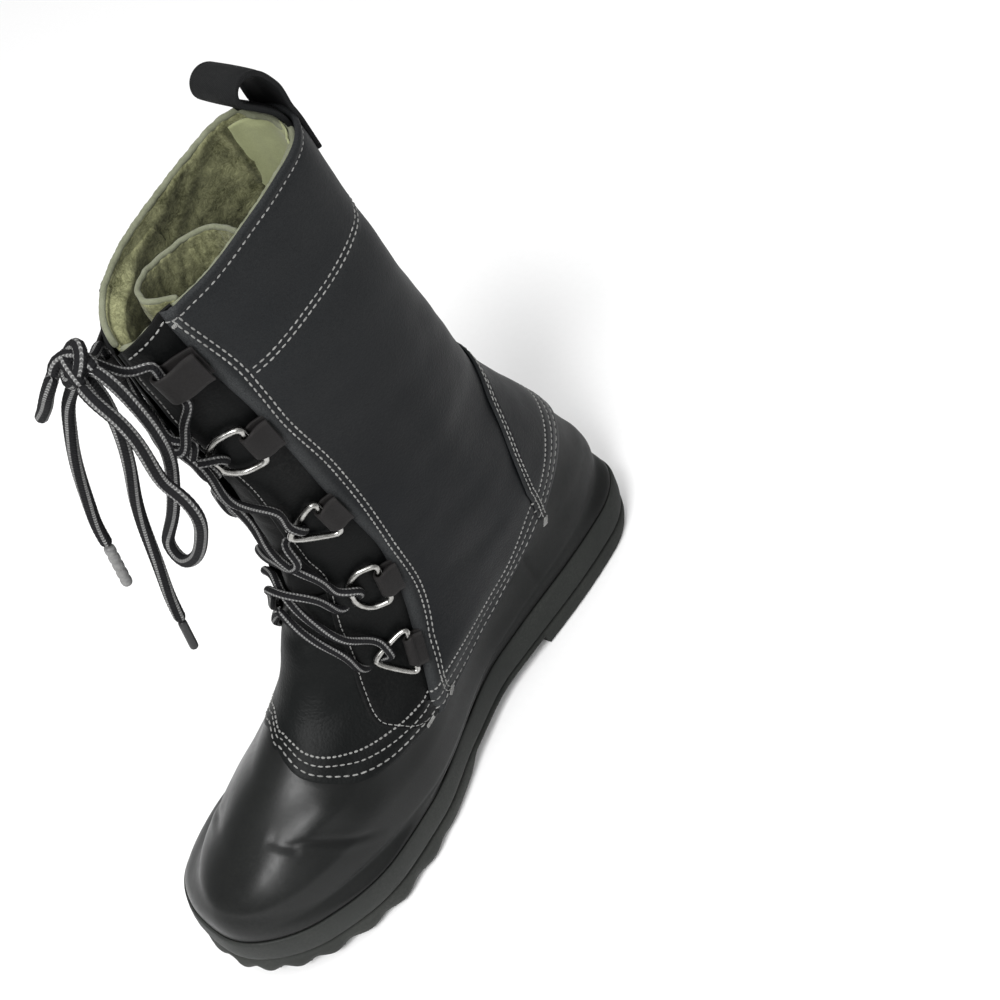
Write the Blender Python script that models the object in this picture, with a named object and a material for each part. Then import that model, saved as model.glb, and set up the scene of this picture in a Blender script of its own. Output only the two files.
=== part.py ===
"""Right boot of a tall lace-up pair: leather shaft on a moulded rubber shell, one solid for each sub-part.

Frame: toe towards -Y, medial side towards +X, floor at z = 0. All tables are in millimetres and every
point is scaled to metres once, when its mesh is made.
"""
import math

import bmesh
import bpy
import numpy as np
from mathutils import Vector

MM = 0.001
GAP = 0.3                     # clearance that touching pieces keep

# ---------------------------------------------------------------- driving sizes
SOLE_TIP = -146.0             # toe end of the sole, along Y
SOLE_HEEL = 145.0             # heel end of the sole, along Y
LEATHER = 2.8                 # thickness of the shaft leather
EYESTAY_DROP = 1.2            # the eyestay lies this far under the shaft leather
VAMP_DROP = 2.2               # the vamp lies this far under the shaft leather
SKIN = -1.6                   # rubber skin, measured from the leather's outer face
SHELL_INSIDE = -6.8           # inner face of the rubber shell
LIP = 10.0                    # height of the shell's lip behind the leather's lower edge
THROAT_BOTTOM = 106.0         # lowest open point of the throat
TONGUE_OUTER = -5.6
TONGUE_INNER = -8.2
LACE = 2.3                    # lace radius
WIRE = 1.3                    # ring wire radius
TAB_WIDTH = 14.4

# The last's sections, from the sole up to the collar. Half-widths are read at the toe, ball, waist and
# heel, first on the medial and then on the lateral side; the last two columns round the ends.
SECTIONS = (
    # z   front   back   toe   ball  waist heel  toe ball waist heel front back
    (20, -146.0, 142.0, 43.0, 47.5, 31.0, 33.0, 40, 42, 38, 34, 0.25, 0.26),
    (32, -145.0, 142.5, 42.0, 46.5, 31.0, 32.0, 39, 41, 38, 33, 0.25, 0.26),
    (45, -139.0, 142.0, 40.0, 44.0, 30.0, 31.0, 36, 38, 36, 32, 0.25, 0.27),
    (58, -116.0, 138.0, 35.0, 40.0, 31.0, 30.0, 31, 34, 35, 30, 0.30, 0.28),
    (70, -90.0, 132.0, 31.0, 40.0, 34.0, 30.0, 28, 34, 36, 30, 0.36, 0.30),
    (85, -65.0, 125.0, 30.0, 38.0, 36.0, 31.0, 27, 34, 36, 31, 0.42, 0.32),
    (100, -52.0, 117.0, 31.0, 37.0, 37.0, 33.0, 29, 35, 37, 33, 0.45, 0.36),
    (120, -43.0, 105.0, 33.0, 37.0, 37.0, 33.0, 33, 37, 37, 33, 0.50, 0.42),
    (150, -37.0, 89.0, 33.0, 36.0, 36.0, 32.0, 33, 36, 36, 32, 0.50, 0.45),
    (190, -39.0, 78.0, 31.0, 34.0, 34.0, 31.0, 31, 34, 34, 31, 0.50, 0.40),
    (230, -44.0, 67.0, 29.0, 32.0, 32.0, 29.0, 29, 32, 32, 29, 0.50, 0.33),
    (275, -48.0, 57.0, 23.0, 25.0, 25.0, 23.0, 23, 25, 25, 23, 0.50, 0.25),
    (310, -50.0, 50.0, 21.0, 22.0, 22.0, 21.0, 21, 22, 22, 21, 0.50, 0.22),
)
STATIONS = (0.12, 0.34, 0.60, 0.86)   # toe, ball, waist and heel, as a share of the section's length
TOE_SWING = 5.0                       # the toe points this far to the medial side

# Sole outline, right foot: x at each y, medial and lateral sides.
OUTLINE_MEDIAL = ((5, -146), (26, -138), (41, -117), (50, -80), (48, -50), (38, -12), (31.5, 25),
                  (32, 75), (30, 113), (16, 141), (-2, 145))
OUTLINE_LATERAL = ((5, -146), (-13, -143.5), (-33, -129), (-45, -92), (-47, -45), (-41, 10),
                   (-38.5, 60), (-35, 112), (-20, 140), (-2, 145))
BAND_TOP = ((-144, 31), (-100, 26), (-50, 25), (0, 26), (60, 29), (144, 30))   # y, z of the midsole's top

# Lines drawn on the last: u runs from 0 at the front centre to 1 at the back centre on each side.
LOWER_EDGE = ((0, 68.5), (0.10, 67.5), (0.17, 65), (0.233, 61.5), (0.277, 58.5), (0.32, 56),
              (0.383, 53.5), (0.45, 51), (0.51, 50), (0.55, 51.5), (0.59, 60), (0.62, 66), (0.66, 72),
              (0.70, 77), (0.78, 85), (0.88, 90), (1.0, 91.5))                # u, z of the leather's edge
THROAT_EDGE = ((58, 0.397), (66, 0.34), (73, 0.287), (90, 0.22), (104, 0.187), (117, 0.163),
               (139, 0.157), (155, 0.127), (197, 0.113), (210, 0.100), (241, 0.035), (277, 0.033))
FACING_EDGE = ((55, 0.43), (72, 0.377), (83, 0.353), (100, 0.333), (141, 0.320), (165, 0.303),
               (190, 0.287), (232, 0.280), (250, 0.267), (280, 0.247))       # z, u of the facing's edge
COUNTER_TOP = ((0.64, 105.5), (0.697, 127.5), (0.78, 146), (0.913, 157.5), (1.0, 160))    # u, z
COUNTER_FRONT = ((68, 0.66), (105, 0.64))                                                 # z, u

# Lacing levels: height, u of the ring's bar, reach of the ring, half-width, pointed (1) or round (0).
LEVELS = (
    (84.0, 0.332, 13.5, 9.0, 1),
    (123.0, 0.293, 14.0, 9.8, 0),
    (170.0, 0.266, 14.5, 9.0, 1),
    (220.0, 0.242, 14.0, 9.0, 0),
)
TOP_LOOP = (260.0, 0.222)     # height and u of the topmost leather lace loops
RING_TILT = math.radians(8)

# Pull loop: heights of its outer seam, then y, z of the free loop's middle, then the inner seam's heights.
PULL_OUTER_SEAM = (262, 270, 278, 286, 294)
PULL_FREE = ((53.3, 301), (51.6, 306), (48.5, 313), (44.5, 320), (40.0, 324.6), (35, 325.8), (31.2, 323.5),
             (30, 319.5), (32, 314.5), (37, 308.5), (41.8, 303.4))
PULL_INNER_SEAM = (297, 292, 287, 282)
PULL_WIDTH = 22.0
PULL_THICK = 2.0

# Folded gusset of the tongue, plan points at the collar and 110 mm lower.
GUSSET_TOP = ((8.8, -26.9), (5.2, -30.8), (0, -28.5), (-5, -22), (-7.5, -11), (-7.5, 0), (-4, 7), (1, 9),
              (7, 9), (13, 8))
GUSSET_LOW = ((10, -17), (7, -20.5), (2, -22.5), (-2, -21.5), (-5, -18.5), (-5.5, -15), (-3, -12.5),
              (1, -11.5), (6, -11.5), (11, -11))

# Lace ends, hanging in front of the shaft.
KNOT_CENTRE = (3, -61.5, 286)
KNOT_RADII = (7.5, 5.0, 5.2)
LOOP_LONG = ((9, -66.5, 282), (16, -68, 279), (22, -68, 274), (26, -68, 266), (28.5, -69, 256),
             (31, -69.5, 249), (36, -69.5, 245.5), (39, -69.5, 240), (38, -69.5, 233), (34, -69.5, 225),
             (27, -69.5, 214), (19, -69.5, 204), (12, -69.5, 197.5), (6, -69, 194), (1.5, -68, 198),
             (4, -66.5, 206), (10, -64.5, 217), (17, -62.5, 231), (22.5, -61, 244), (26, -60.5, 256),
             (25.5, -60.5, 266), (22, -60.5, 275), (16.5, -60.5, 282), (11, -60.5, 284.5))
LOOP_SHORT = ((-4.5, -58.5, 284), (-10, -58.5, 280.5), (-18, -59.5, 273.5), (-27, -61, 263.5),
              (-33.5, -62.5, 255.5), (-34.5, -65, 252), (-30, -68, 254.5), (-22, -69.5, 261.5),
              (-14, -70, 269.5), (-8, -70, 276.5), (-3.5, -67.5, 283))
TAIL_LATERAL = ((-0.5, -61.5, 280), (-6.5, -62.3, 272.5), (-12, -64.2, 265), (-17, -66.5, 254),
                (-21.5, -69, 241), (-25, -71, 228), (-29, -72.5, 213), (-30.5, -74, 202), (-30, -75, 192.5))
TAIL_MEDIAL = ((5, -61.5, 280.3), (4.5, -60.5, 273), (2, -59.3, 265), (1, -59.8, 256), (0.5, -61.5, 246),
               (-1.5, -63.5, 235), (-5.5, -65.5, 222), (-8.5, -67.5, 208), (-9.5, -69.5, 195),
               (-10.5, -71.5, 182), (-11.5, -73.5, 169), (-11.5, -75, 156.5))
AGLET_LATERAL = ((-30, -75.2, 191.9), (-29.5, -77.5, 172))
AGLET_MEDIAL = ((-11.5, -75.2, 155.8), (-9.5, -77.5, 142.5))

# Rubber treads
LUG_PITCH = 17.0
LUG_DEPTH = 4.5
SCALLOP = 1.8
HEEL_BREAST = 53.0


# ---------------------------------------------------------------- curves
def slopes(x, y):
    """Slopes of a curve that never overshoots its own points; y may hold several columns."""
    step = np.diff(x)[:, None]
    rise = np.diff(y, axis=0) / step
    inner = np.zeros_like(y)
    same = rise[:-1] * rise[1:] > 0
    w1 = 2 * step[1:] + step[:-1]
    w2 = step[1:] + 2 * step[:-1]
    safe0 = np.where(same, rise[:-1], 1.0)
    safe1 = np.where(same, rise[1:], 1.0)
    inner[1:-1] = np.where(same, (w1 + w2) / (w1 / safe0 + w2 / safe1), 0.0)
    inner[0] = rise[0]
    inner[-1] = rise[-1]
    return inner


def curve_through(rows):
    """Function that reads the smooth curve through (position, value, value...) rows."""
    table = np.array(rows, float)
    x = table[:, 0]
    y = table[:, 1:]
    m = slopes(x, y)

    def read(position):
        p = min(max(position, x[0]), x[-1])
        i = min(int(np.searchsorted(x, p, side="right")) - 1, len(x) - 2)
        h = x[i + 1] - x[i]
        t = (p - x[i]) / h
        a = (2 * t ** 3 - 3 * t ** 2 + 1) * y[i] + (t ** 3 - 2 * t ** 2 + t) * h * m[i]
        b = (3 * t ** 2 - 2 * t ** 3) * y[i + 1] + (t ** 3 - t ** 2) * h * m[i + 1]
        value = a + b
        return value if len(value) > 1 else float(value[0])

    return read


def smoothstep(t):
    t = min(max(t, 0.0), 1.0)
    return t * t * (3 - 2 * t)


def spline_points(route, count):
    """Evenly spaced points on the natural cubic spline through the route's own points."""
    p = np.array(route, float)
    chord = np.concatenate(([0.0], np.cumsum(np.linalg.norm(np.diff(p, axis=0), axis=1))))
    n = len(p)
    a = np.zeros((n, n))
    b = np.zeros_like(p)
    a[0, 0] = a[-1, -1] = 1.0
    for i in range(1, n - 1):
        h0 = chord[i] - chord[i - 1]
        h1 = chord[i + 1] - chord[i]
        a[i, i - 1:i + 2] = (h0, 2 * (h0 + h1), h1)
        b[i] = 6 * ((p[i + 1] - p[i]) / h1 - (p[i] - p[i - 1]) / h0)
    bend = np.linalg.solve(a, b)
    fine = []
    for i in range(n - 1):
        h = chord[i + 1] - chord[i]
        for t in np.linspace(0, 1, 12, endpoint=(i == n - 2)):
            q = 1 - t
            fine.append(q * p[i] + t * p[i + 1]
                        + h * h / 6 * ((q ** 3 - q) * bend[i] + (t ** 3 - t) * bend[i + 1]))
    fine = np.array(fine)
    run = np.concatenate(([0.0], np.cumsum(np.linalg.norm(np.diff(fine, axis=0), axis=1))))
    spots = np.linspace(0, run[-1], count)
    return np.stack([np.interp(spots, run, fine[:, k]) for k in range(p.shape[1])], axis=1)


# ---------------------------------------------------------------- the last
section = curve_through(SECTIONS)
lower_edge = curve_through(LOWER_EDGE)
throat_edge = curve_through(THROAT_EDGE)
facing_edge = curve_through(FACING_EDGE)
band_top = curve_through(BAND_TOP)
counter_top = curve_through(COUNTER_TOP)
counter_front = curve_through(COUNTER_FRONT)


def last_point(u, z):
    """Outer face of the shaft leather at girth position u (0 front, 1 back, + medial) and height z."""
    u = (u + 1.0) % 2.0 - 1.0
    row = section(z)
    widths = row[2:6] if u >= 0 else row[6:10]
    s = 0.5 * (1 - math.cos(math.pi * abs(u)))
    width = widths[0] if s <= STATIONS[0] else widths[3]
    for i in range(3):
        if STATIONS[i] < s <= STATIONS[i + 1]:
            t = smoothstep((s - STATIONS[i]) / (STATIONS[i + 1] - STATIONS[i]))
            width = widths[i] * (1 - t) + widths[i + 1] * t
    front = max(1 - s / row[10], 0.0)
    back = max(1 - (1 - s) / row[11], 0.0)
    x = width * math.sqrt(max(1 - front ** 2.2, 0.0)) * math.sqrt(max(1 - back ** 2.2, 0.0))
    swing = TOE_SWING * min(max((100 - z) / 40, 0.0), 1.0) * (1 - s) ** 4
    return np.array([math.copysign(x, u) + swing, row[0] + (row[1] - row[0]) * s, z])


def last_normal(u, z):
    around = last_point(u + 0.004, z) - last_point(u - 0.004, z)
    up = last_point(u, z + 0.5) - last_point(u, z - 0.5)
    n = np.cross(around, up)
    return n / np.linalg.norm(n)


def last_offset(u, z, distance):
    return last_point(u, z) + distance * last_normal(u, z)


def rim_height(x, y):
    """The collar's top line leans back: low at the front, high at the pull loop."""
    return 292.35 + 12.77 * y / 60 + 1.86 * x / 45


# ---------------------------------------------------------------- the sole's own curves
def outline_table(points):
    rows = []
    for x, y in points:
        s = (y - SOLE_TIP) / (SOLE_HEEL - SOLE_TIP)
        rows.append((math.acos(1 - 2 * s) / math.pi, x))
    return rows


MEDIAL_ROWS = outline_table(OUTLINE_MEDIAL)
LATERAL_ROWS = [(-u, x) for u, x in reversed(outline_table(OUTLINE_LATERAL))]
AROUND = LATERAL_ROWS + MEDIAL_ROWS[1:]
outline_x = curve_through([(u - 2, x) for u, x in AROUND[-4:-1]] + AROUND + [(u + 2, x) for u, x in AROUND[1:4]])


def outline_point(u, inset):
    """Point of the sole's outline at girth position u, moved inwards by inset."""
    u = (u + 1.0) % 2.0 - 1.0

    def at(v):
        s = 0.5 * (1 - math.cos(math.pi * v))
        return np.array([outline_x(v), SOLE_TIP + (SOLE_HEEL - SOLE_TIP) * s])

    run = at(u + 0.01) - at(u - 0.01)
    n = np.array([run[1], -run[0]]) / np.linalg.norm(run)
    if abs(u) > 0.995:
        n = np.array([0.0, 1.0])
    return at(u) - inset * n


def toe_spring(y):
    return 7.0 * (max(-y - 70.0, 0.0) / 74.0) ** 2


def outsole_top(y):
    return 11.0 + 5.0 * (min(max(-y - 90.0, 0.0), 60.0) / 50.0) ** 2


# ---------------------------------------------------------------- layers of the upper
def thinning(u, z):
    """Layers grow from a third of their step at the leather's lower edge to all of it 25 mm higher."""
    return 0.3 + 0.7 * smoothstep((z - lower_edge(abs(u))) / 25.0)


def layer(kind, u, z):
    """Outer and inner offsets of the vamp (B), the eyestay (E) and the quarter (A)."""
    k = thinning(u, z)
    if kind == "B":
        return -VAMP_DROP * k, -LEATHER - 1.6 * k
    if kind == "E":
        return -EYESTAY_DROP * k, -LEATHER - 0.8 * k
    return 0.0, -LEATHER


VAMP_COLUMNS = 8
QUARTER_COLUMNS = 11
RISER = 0.012                 # girth taken up by the step between two layers


def half_columns(z):
    """Girth positions of one side's columns at height z, front to back, each with its layer."""
    edge = throat_edge(z)
    facing = facing_edge(z)
    columns = []
    for i in range(1, VAMP_COLUMNS + 1):
        columns.append(("B", (edge - RISER) * i / VAMP_COLUMNS))
    for t in (0.0, 0.5, 1.0):
        columns.append(("E", edge + (facing - RISER - edge) * t))
    for i in range(QUARTER_COLUMNS + 1):
        columns.append(("A", facing + (1.0 - facing) * i / QUARTER_COLUMNS))
    return columns


HALF = VAMP_COLUMNS + 3 + QUARTER_COLUMNS + 1
AROUND_COLUMNS = [-i for i in range(HALF, 0, -1)] + list(range(0, HALF))


def column(index, z):
    """Layer and signed girth position of a column; index 0 is the front, +-HALF the back."""
    if index == 0:
        return "B", 0.0
    kind, u = half_columns(z)[abs(index) - 1]
    return kind, math.copysign(u, index)


def settle(index, share, low_row, high):
    """Height of a grid row whose girth position depends on the height itself."""
    z = 80.0
    for _ in range(8):
        kind, u = column(index, z)
        low = lower_edge(abs(u)) if low_row else THROAT_BOTTOM
        top = high if low_row else rim_height(*last_point(u, z)[:2])
        z = low + (top - low) * share
    return z


# ---------------------------------------------------------------- meshes
def make_material(name, colour, roughness, metallic=0.0):
    material = bpy.data.materials.new(name)
    material.use_nodes = True
    shader = material.node_tree.nodes["Principled BSDF"]
    shader.inputs["Base Color"].default_value = (*colour, 1.0)
    shader.inputs["Roughness"].default_value = roughness
    shader.inputs["Metallic"].default_value = metallic
    return material


def make_object(name, points, faces, material, sharp=35.0):
    mesh = bpy.data.meshes.new(name)
    mesh.from_pydata([tuple(float(c) * MM for c in p) for p in points], [], faces)
    work = bmesh.new()
    work.from_mesh(mesh)
    bmesh.ops.remove_doubles(work, verts=work.verts, dist=0.00001)
    bmesh.ops.recalc_face_normals(work, faces=work.faces)
    work.to_mesh(mesh)
    work.free()
    mesh.shade_smooth()
    mesh.set_sharp_from_angle(angle=math.radians(sharp))
    mesh.materials.append(material)
    thing = bpy.data.objects.new(name, mesh)
    bpy.context.collection.objects.link(thing)
    thing.parent = ROOT
    return thing


def ladder(loop, half):
    """Faces across a loop whose index 'half' is the front and whose two sides match one to one."""
    faces = []
    n = len(loop)
    for i in range(half):
        quad = [loop[half - i], loop[(half + i) % n], loop[(half + i + 1) % n], loop[half - i - 1]]
        face = []
        for corner in quad:
            if corner not in face:
                face.append(corner)
        faces.append(face)
    return faces


def ring_body(name, columns, material, sharp=35.0):
    """Body swept around the foot: each column runs from its first loop to its last, both closed flat."""
    n = len(columns)
    k = len(columns[0])
    points = [p for c in columns for p in c]
    faces = []
    for c in range(n):
        d = (c + 1) % n
        for j in range(k - 1):
            faces.append([c * k + j, d * k + j, d * k + j + 1, c * k + j + 1])
    half = n // 2
    faces += ladder([c * k for c in range(n)], half)
    faces += ladder([c * k + k - 1 for c in range(n)], half)
    return make_object(name, points, faces, material, sharp)


def sheet_body(name, outer, inner, material, wrap=False, holes=(), sharp=35.0):
    """Closed sheet between two grids of rows and columns; cells named in holes are left out."""
    rows = len(outer)
    cols = len(outer[0])
    base = rows * cols
    points = [p for row in outer for p in row] + [p for row in inner for p in row]
    cells = []
    for r in range(rows - 1):
        for c in range(cols if wrap else cols - 1):
            if (r, c) not in holes:
                d = (c + 1) % cols
                cells.append([r * cols + c, r * cols + d, (r + 1) * cols + d, (r + 1) * cols + c])
    edges = {}
    for cell in cells:
        for a, b in zip(cell, cell[1:] + cell[:1]):
            edges[(a, b)] = True
    faces = [list(cell) for cell in cells]
    faces += [[base + v for v in reversed(cell)] for cell in cells]
    for a, b in edges:
        if (b, a) not in edges:
            faces.append([b, a, base + a, base + b])
    used = sorted({v for face in faces for v in face})
    index = {v: i for i, v in enumerate(used)}
    return make_object(name, [points[v] for v in used], [[index[v] for v in f] for f in faces], material, sharp)


def tube_mesh(path, radius, sides, closed=False, up=(0, 0, 1)):
    """Points and faces of a round tube along a path."""
    p = np.array(path, float)
    n = len(p)
    points = []
    side = np.array(up, float)
    for i in range(n):
        ahead = p[(i + 1) % n] if closed or i < n - 1 else p[i]
        behind = p[i - 1] if closed or i > 0 else p[i]
        run = (ahead - behind) / np.linalg.norm(ahead - behind)
        side = side - run * np.dot(side, run)
        side = side / np.linalg.norm(side)
        third = np.cross(run, side)
        for j in range(sides):
            a = 2 * math.pi * j / sides
            points.append(p[i] + radius * (math.cos(a) * side + math.sin(a) * third))
    faces = []
    for i in range(n if closed else n - 1):
        k = (i + 1) % n
        for j in range(sides):
            m = (j + 1) % sides
            faces.append([i * sides + j, i * sides + m, k * sides + m, k * sides + j])
    if not closed:
        faces.append(list(range(sides)))
        faces.append([(n - 1) * sides + j for j in range(sides)])
    return points, faces


def cord(name, route, count, material):
    """A free lace length: a round bevelled curve with filled caps."""
    data = bpy.data.curves.new(name, "CURVE")
    data.dimensions = "3D"
    data.bevel_depth = LACE * MM
    data.bevel_resolution = 2
    data.use_fill_caps = True
    spline = data.splines.new("POLY")
    spline.points.add(count - 1)
    for point, spot in zip(spline.points, spline_points(route, count)):
        point.co = (*(spot * MM), 1.0)
    data.materials.append(material)
    thing = bpy.data.objects.new(name, data)
    bpy.context.collection.objects.link(thing)
    thing.parent = ROOT
    return thing


def union(target, other):
    other.hide_render = True
    other.display_type = "WIRE"
    other.hide_viewport = False
    joint = target.modifiers.new("Join " + other.name, "BOOLEAN")
    joint.operation = "UNION"
    joint.solver = "EXACT"
    joint.object = other


# ---------------------------------------------------------------- scene
for old in list(bpy.data.objects):
    bpy.data.objects.remove(old, do_unlink=True)

ROOT = bpy.data.objects.new("boot_right_origin", None)
bpy.context.collection.objects.link(ROOT)

LEATHER_BLACK = make_material("shaft_leather", (0.016, 0.019, 0.021), 0.45)
COUNTER_LEATHER = make_material("counter_leather", (0.016, 0.019, 0.021), 0.45)
TONGUE_LEATHER = make_material("tongue_leather", (0.018, 0.020, 0.022), 0.5)
GUSSET_FELT = make_material("gusset_felt", (0.09, 0.10, 0.06), 0.95)
SHELL_RUBBER = make_material("shell_rubber", (0.030, 0.032, 0.031), 0.42)
MIDSOLE_RUBBER = make_material("midsole_rubber", (0.040, 0.042, 0.040), 0.5)
OUTSOLE_RUBBER = make_material("outsole_rubber", (0.042, 0.045, 0.042), 0.6)
FELT = make_material("insole_felt", (0.10, 0.11, 0.07), 0.95)
STRAP = make_material("pull_strap", (0.020, 0.022, 0.022), 0.8)
TAB = make_material("tab_leather", (0.017, 0.019, 0.021), 0.5)
STEEL = make_material("ring_steel", (0.60, 0.60, 0.58), 0.22, 1.0)
LACE_CLOTH = make_material("lace_cloth", (0.022, 0.022, 0.023), 0.85)
AGLET_DARK = make_material("aglet_dark", (0.03, 0.03, 0.03), 0.4)
AGLET_GREY = make_material("aglet_grey", (0.30, 0.30, 0.30), 0.4)


# ---------------------------------------------------------------- upper
LOW_ROWS = 6
HIGH_ROWS = 9


def build_upper():
    outer = []
    inner = []
    holes = set()
    for r in range(LOW_ROWS + HIGH_ROWS + 1):
        row_out = []
        row_in = []
        for index in AROUND_COLUMNS:
            if r <= LOW_ROWS:
                z = settle(index, r / LOW_ROWS, True, THROAT_BOTTOM)
            elif abs(index) <= VAMP_COLUMNS:
                z = THROAT_BOTTOM
            else:
                z = settle(index, (r - LOW_ROWS) / HIGH_ROWS, False, 0.0)
            kind, u = column(index, z)
            out, into = layer(kind, u, z)
            row_out.append(last_offset(u, z, out))
            row_in.append(last_offset(u, z, into))
        outer.append(row_out)
        inner.append(row_in)
    front = AROUND_COLUMNS.index(0)
    for r in range(LOW_ROWS, LOW_ROWS + HIGH_ROWS):
        for c in range(front - VAMP_COLUMNS - 1, front + VAMP_COLUMNS + 1):
            holes.add((r, c))
    return sheet_body("upper", outer, inner, LEATHER_BLACK, wrap=True, holes=holes, sharp=50)


build_upper()


# ---------------------------------------------------------------- rubber shell, midsole, insole
def foot_columns():
    """Fixed girth positions for everything under the leather's lower edge."""
    return [column(index, 55.0) for index in AROUND_COLUMNS]


def build_shell():
    columns = []
    for kind, u in foot_columns():
        y = outline_point(u, 4.5)[1]
        floor = 16.0 + GAP + toe_spring(y)
        top = band_top(y)
        edge = lower_edge(abs(u))
        profile = [(*outline_point(u, 4.5), floor), (*outline_point(u, 4.5), top + 0.6)]
        for t in (0.0, 0.2, 0.4, 0.6, 0.8, 1.0):
            profile.append(last_offset(u, top + 3 + (edge - 1 - top - 3) * t, SKIN))
        for rise in (-1.0, 0.3 * LIP, 0.65 * LIP, LIP):
            z = edge + rise
            profile.append(last_offset(u, z, layer("B" if kind != "A" else "A", u, z)[1] - 1.95))
        for t in (0.0, 0.33, 0.66, 1.0):
            z = edge + LIP + (top + 4 - edge - LIP) * t
            profile.append(last_offset(u, z, SHELL_INSIDE))
        profile.append((*outline_point(u, 9.2), top))
        profile.append((*outline_point(u, 9.2), floor + 3.0))
        columns.append(profile)
    return ring_body("rubber_shell", columns, SHELL_RUBBER, 50)


def build_midsole():
    columns = []
    for kind, u in foot_columns():
        y = outline_point(u, 0)[1]
        low = outsole_top(y) + GAP
        top = band_top(y)
        inset = outline_point(u, 4.2)
        floor = 16.0 + toe_spring(outline_point(u, 4.5)[1])
        profile = [(*outline_point(u, 3.0), low), (*outline_point(u, -0.3), low),
                   (*outline_point(u, -0.6), low + (top - low) * 0.35), (*outline_point(u, 0.2), top - 2.5),
                   (*outline_point(u, 1.5), top), (*inset, top), (*inset, floor)]
        columns.append(profile)
    return ring_body("midsole", columns, MIDSOLE_RUBBER, 40)


def build_insole():
    columns = []
    for kind, u in foot_columns():
        spot = outline_point(u, 9.6)
        floor = 19.0 + 2 * GAP + toe_spring(outline_point(u, 4.5)[1])
        columns.append([(*spot, floor), (*spot, floor + 3.2), (*outline_point(u, 10.6), floor + 4.2)])
    return ring_body("insole", columns, FELT, 50)


build_shell()
build_midsole()
build_insole()


# ---------------------------------------------------------------- outsole
def outsole_girths():
    """Girth positions: six to each lug in front, wider steps along the arch and the heel."""
    spots = [0.0]
    y = SOLE_TIP
    for i in range(1, 15):
        spots.append(0.385 * i / 14)
    for y in (-20.0, 0.0, 30.0, HEEL_BREAST - 3.5, HEEL_BREAST, 75.0, 95.0, 112.0, 126.0, 136.0, 142.5):
        s = (y - SOLE_TIP) / (SOLE_HEEL - SOLE_TIP)
        spots.append(math.acos(1 - 2 * s) / math.pi)
    spots.append(1.0)
    return spots


def tread_depth(y):
    """Underside of the outsole plate: sprung forefoot, raised arch, heel block down to the floor."""
    if y > HEEL_BREAST - 1.0:
        return 0.0
    if y > -24.0:
        return 4.5 + 4.0 * smoothstep((y + 24.0) / 18.0)
    return LUG_DEPTH + toe_spring(y)


def build_outsole():
    girths = outsole_girths()
    half = len(girths) - 1
    signed = [-g for g in reversed(girths[1:])] + girths[:-1]
    columns = []
    for i, u in enumerate(signed):
        number = abs(i - half)
        wave = SCALLOP * (number % 2) if 0 < number < 14 else 0.0
        y = outline_point(u, 0)[1]
        top = outsole_top(y)
        under = tread_depth(y)
        columns.append([(*outline_point(u, 3.2), top), (*outline_point(u, -0.5), top),
                        (*outline_point(u, -0.5 - wave), top - 0.35 * (top - under)),
                        (*outline_point(u, 0.6 - wave), under)])
    body = ring_body("outsole", columns, OUTSOLE_RUBBER, 30)
    points = []
    faces = []

    def prism(plan, low, high):
        base = len(points)
        n = len(plan)
        points.extend([(x, y, low(y)) for x, y in plan])
        points.extend([(x, y, high(y)) for x, y in plan])
        faces.append([base + j for j in reversed(range(n))])
        faces.append([base + n + j for j in range(n)])
        for j in range(n):
            k = (j + 1) % n
            faces.append([base + j, base + k, base + n + k, base + n + j])

    def sprung(y):
        return toe_spring(y)

    def inside(y):
        return toe_spring(y) + 6.0

    for side in (-1, 1):
        for number in range(1, 14, 2):
            u = side * girths[number]
            step = side * 0.385 / 14 * 0.62
            plan = [outline_point(u - step, -0.1 + 0.4), outline_point(u, -SCALLOP + 0.9),
                    outline_point(u + step, -0.1 + 0.4), outline_point(u + step * 0.8, 11.5),
                    outline_point(u - step * 0.8, 11.5)]
            prism([tuple(p) for p in plan], sprung, inside)
    for y in (-118.0, -100.0, -82.0, -64.0, -46.0, -28.0):
        for x0, lean in ((-15.0, 1), (17.0, -1)):
            plan = [(x0 - 9, y - 4 + 2 * lean), (x0 + 9, y - 4 - 2 * lean), (x0 + 9, y + 4 - 2 * lean),
                    (x0 - 9, y + 4 + 2 * lean)]
            prism(plan, sprung, inside)
    lugs = make_object("tread_lugs_tool", points, faces, OUTSOLE_RUBBER, 30)
    union(body, lugs)
    return body


build_outsole()


# ---------------------------------------------------------------- tongue and gusset
def build_tongue():
    outer = []
    inner = []
    for r in range(10):
        row_out = []
        row_in = []
        for c in range(11):
            u = -0.30 + 0.57 * c / 10
            z = 94.0 + r / 9 * (272.0 + 6 * math.cos(3 * u) - 94.0)
            row_out.append(last_offset(u, z, TONGUE_OUTER))
            row_in.append(last_offset(u, z, TONGUE_INNER))
        outer.append(row_out)
        inner.append(row_in)
    return sheet_body("tongue", outer, inner, TONGUE_LEATHER)


def build_gusset():
    count = 14
    top = spline_points(GUSSET_TOP, count)
    low = spline_points(GUSSET_LOW, count)
    mid_rows = []
    for z in (176.0, 200.0, 220.0, 240.0, 258.0, 273.0, 285.0):
        t = smoothstep((z - 175.0) / 100.0)
        mid_rows.append([np.array([*(low[i] * (1 - t) + top[i] * t), z + 1.5 * math.sin(i * 0.5)])
                         for i in range(count)])
    outer = []
    inner = []
    for row in mid_rows:
        row_out = []
        row_in = []
        for i, p in enumerate(row):
            run = row[min(i + 1, count - 1)] - row[max(i - 1, 0)]
            n = np.array([run[1], -run[0], 0.0])
            n = n / np.linalg.norm(n)
            row_out.append(p + 0.8 * n)
            row_in.append(p - 0.8 * n)
        outer.append(row_out)
        inner.append(row_in)
    return sheet_body("tongue_gusset", outer, inner, GUSSET_FELT)


build_tongue()
build_gusset()


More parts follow.
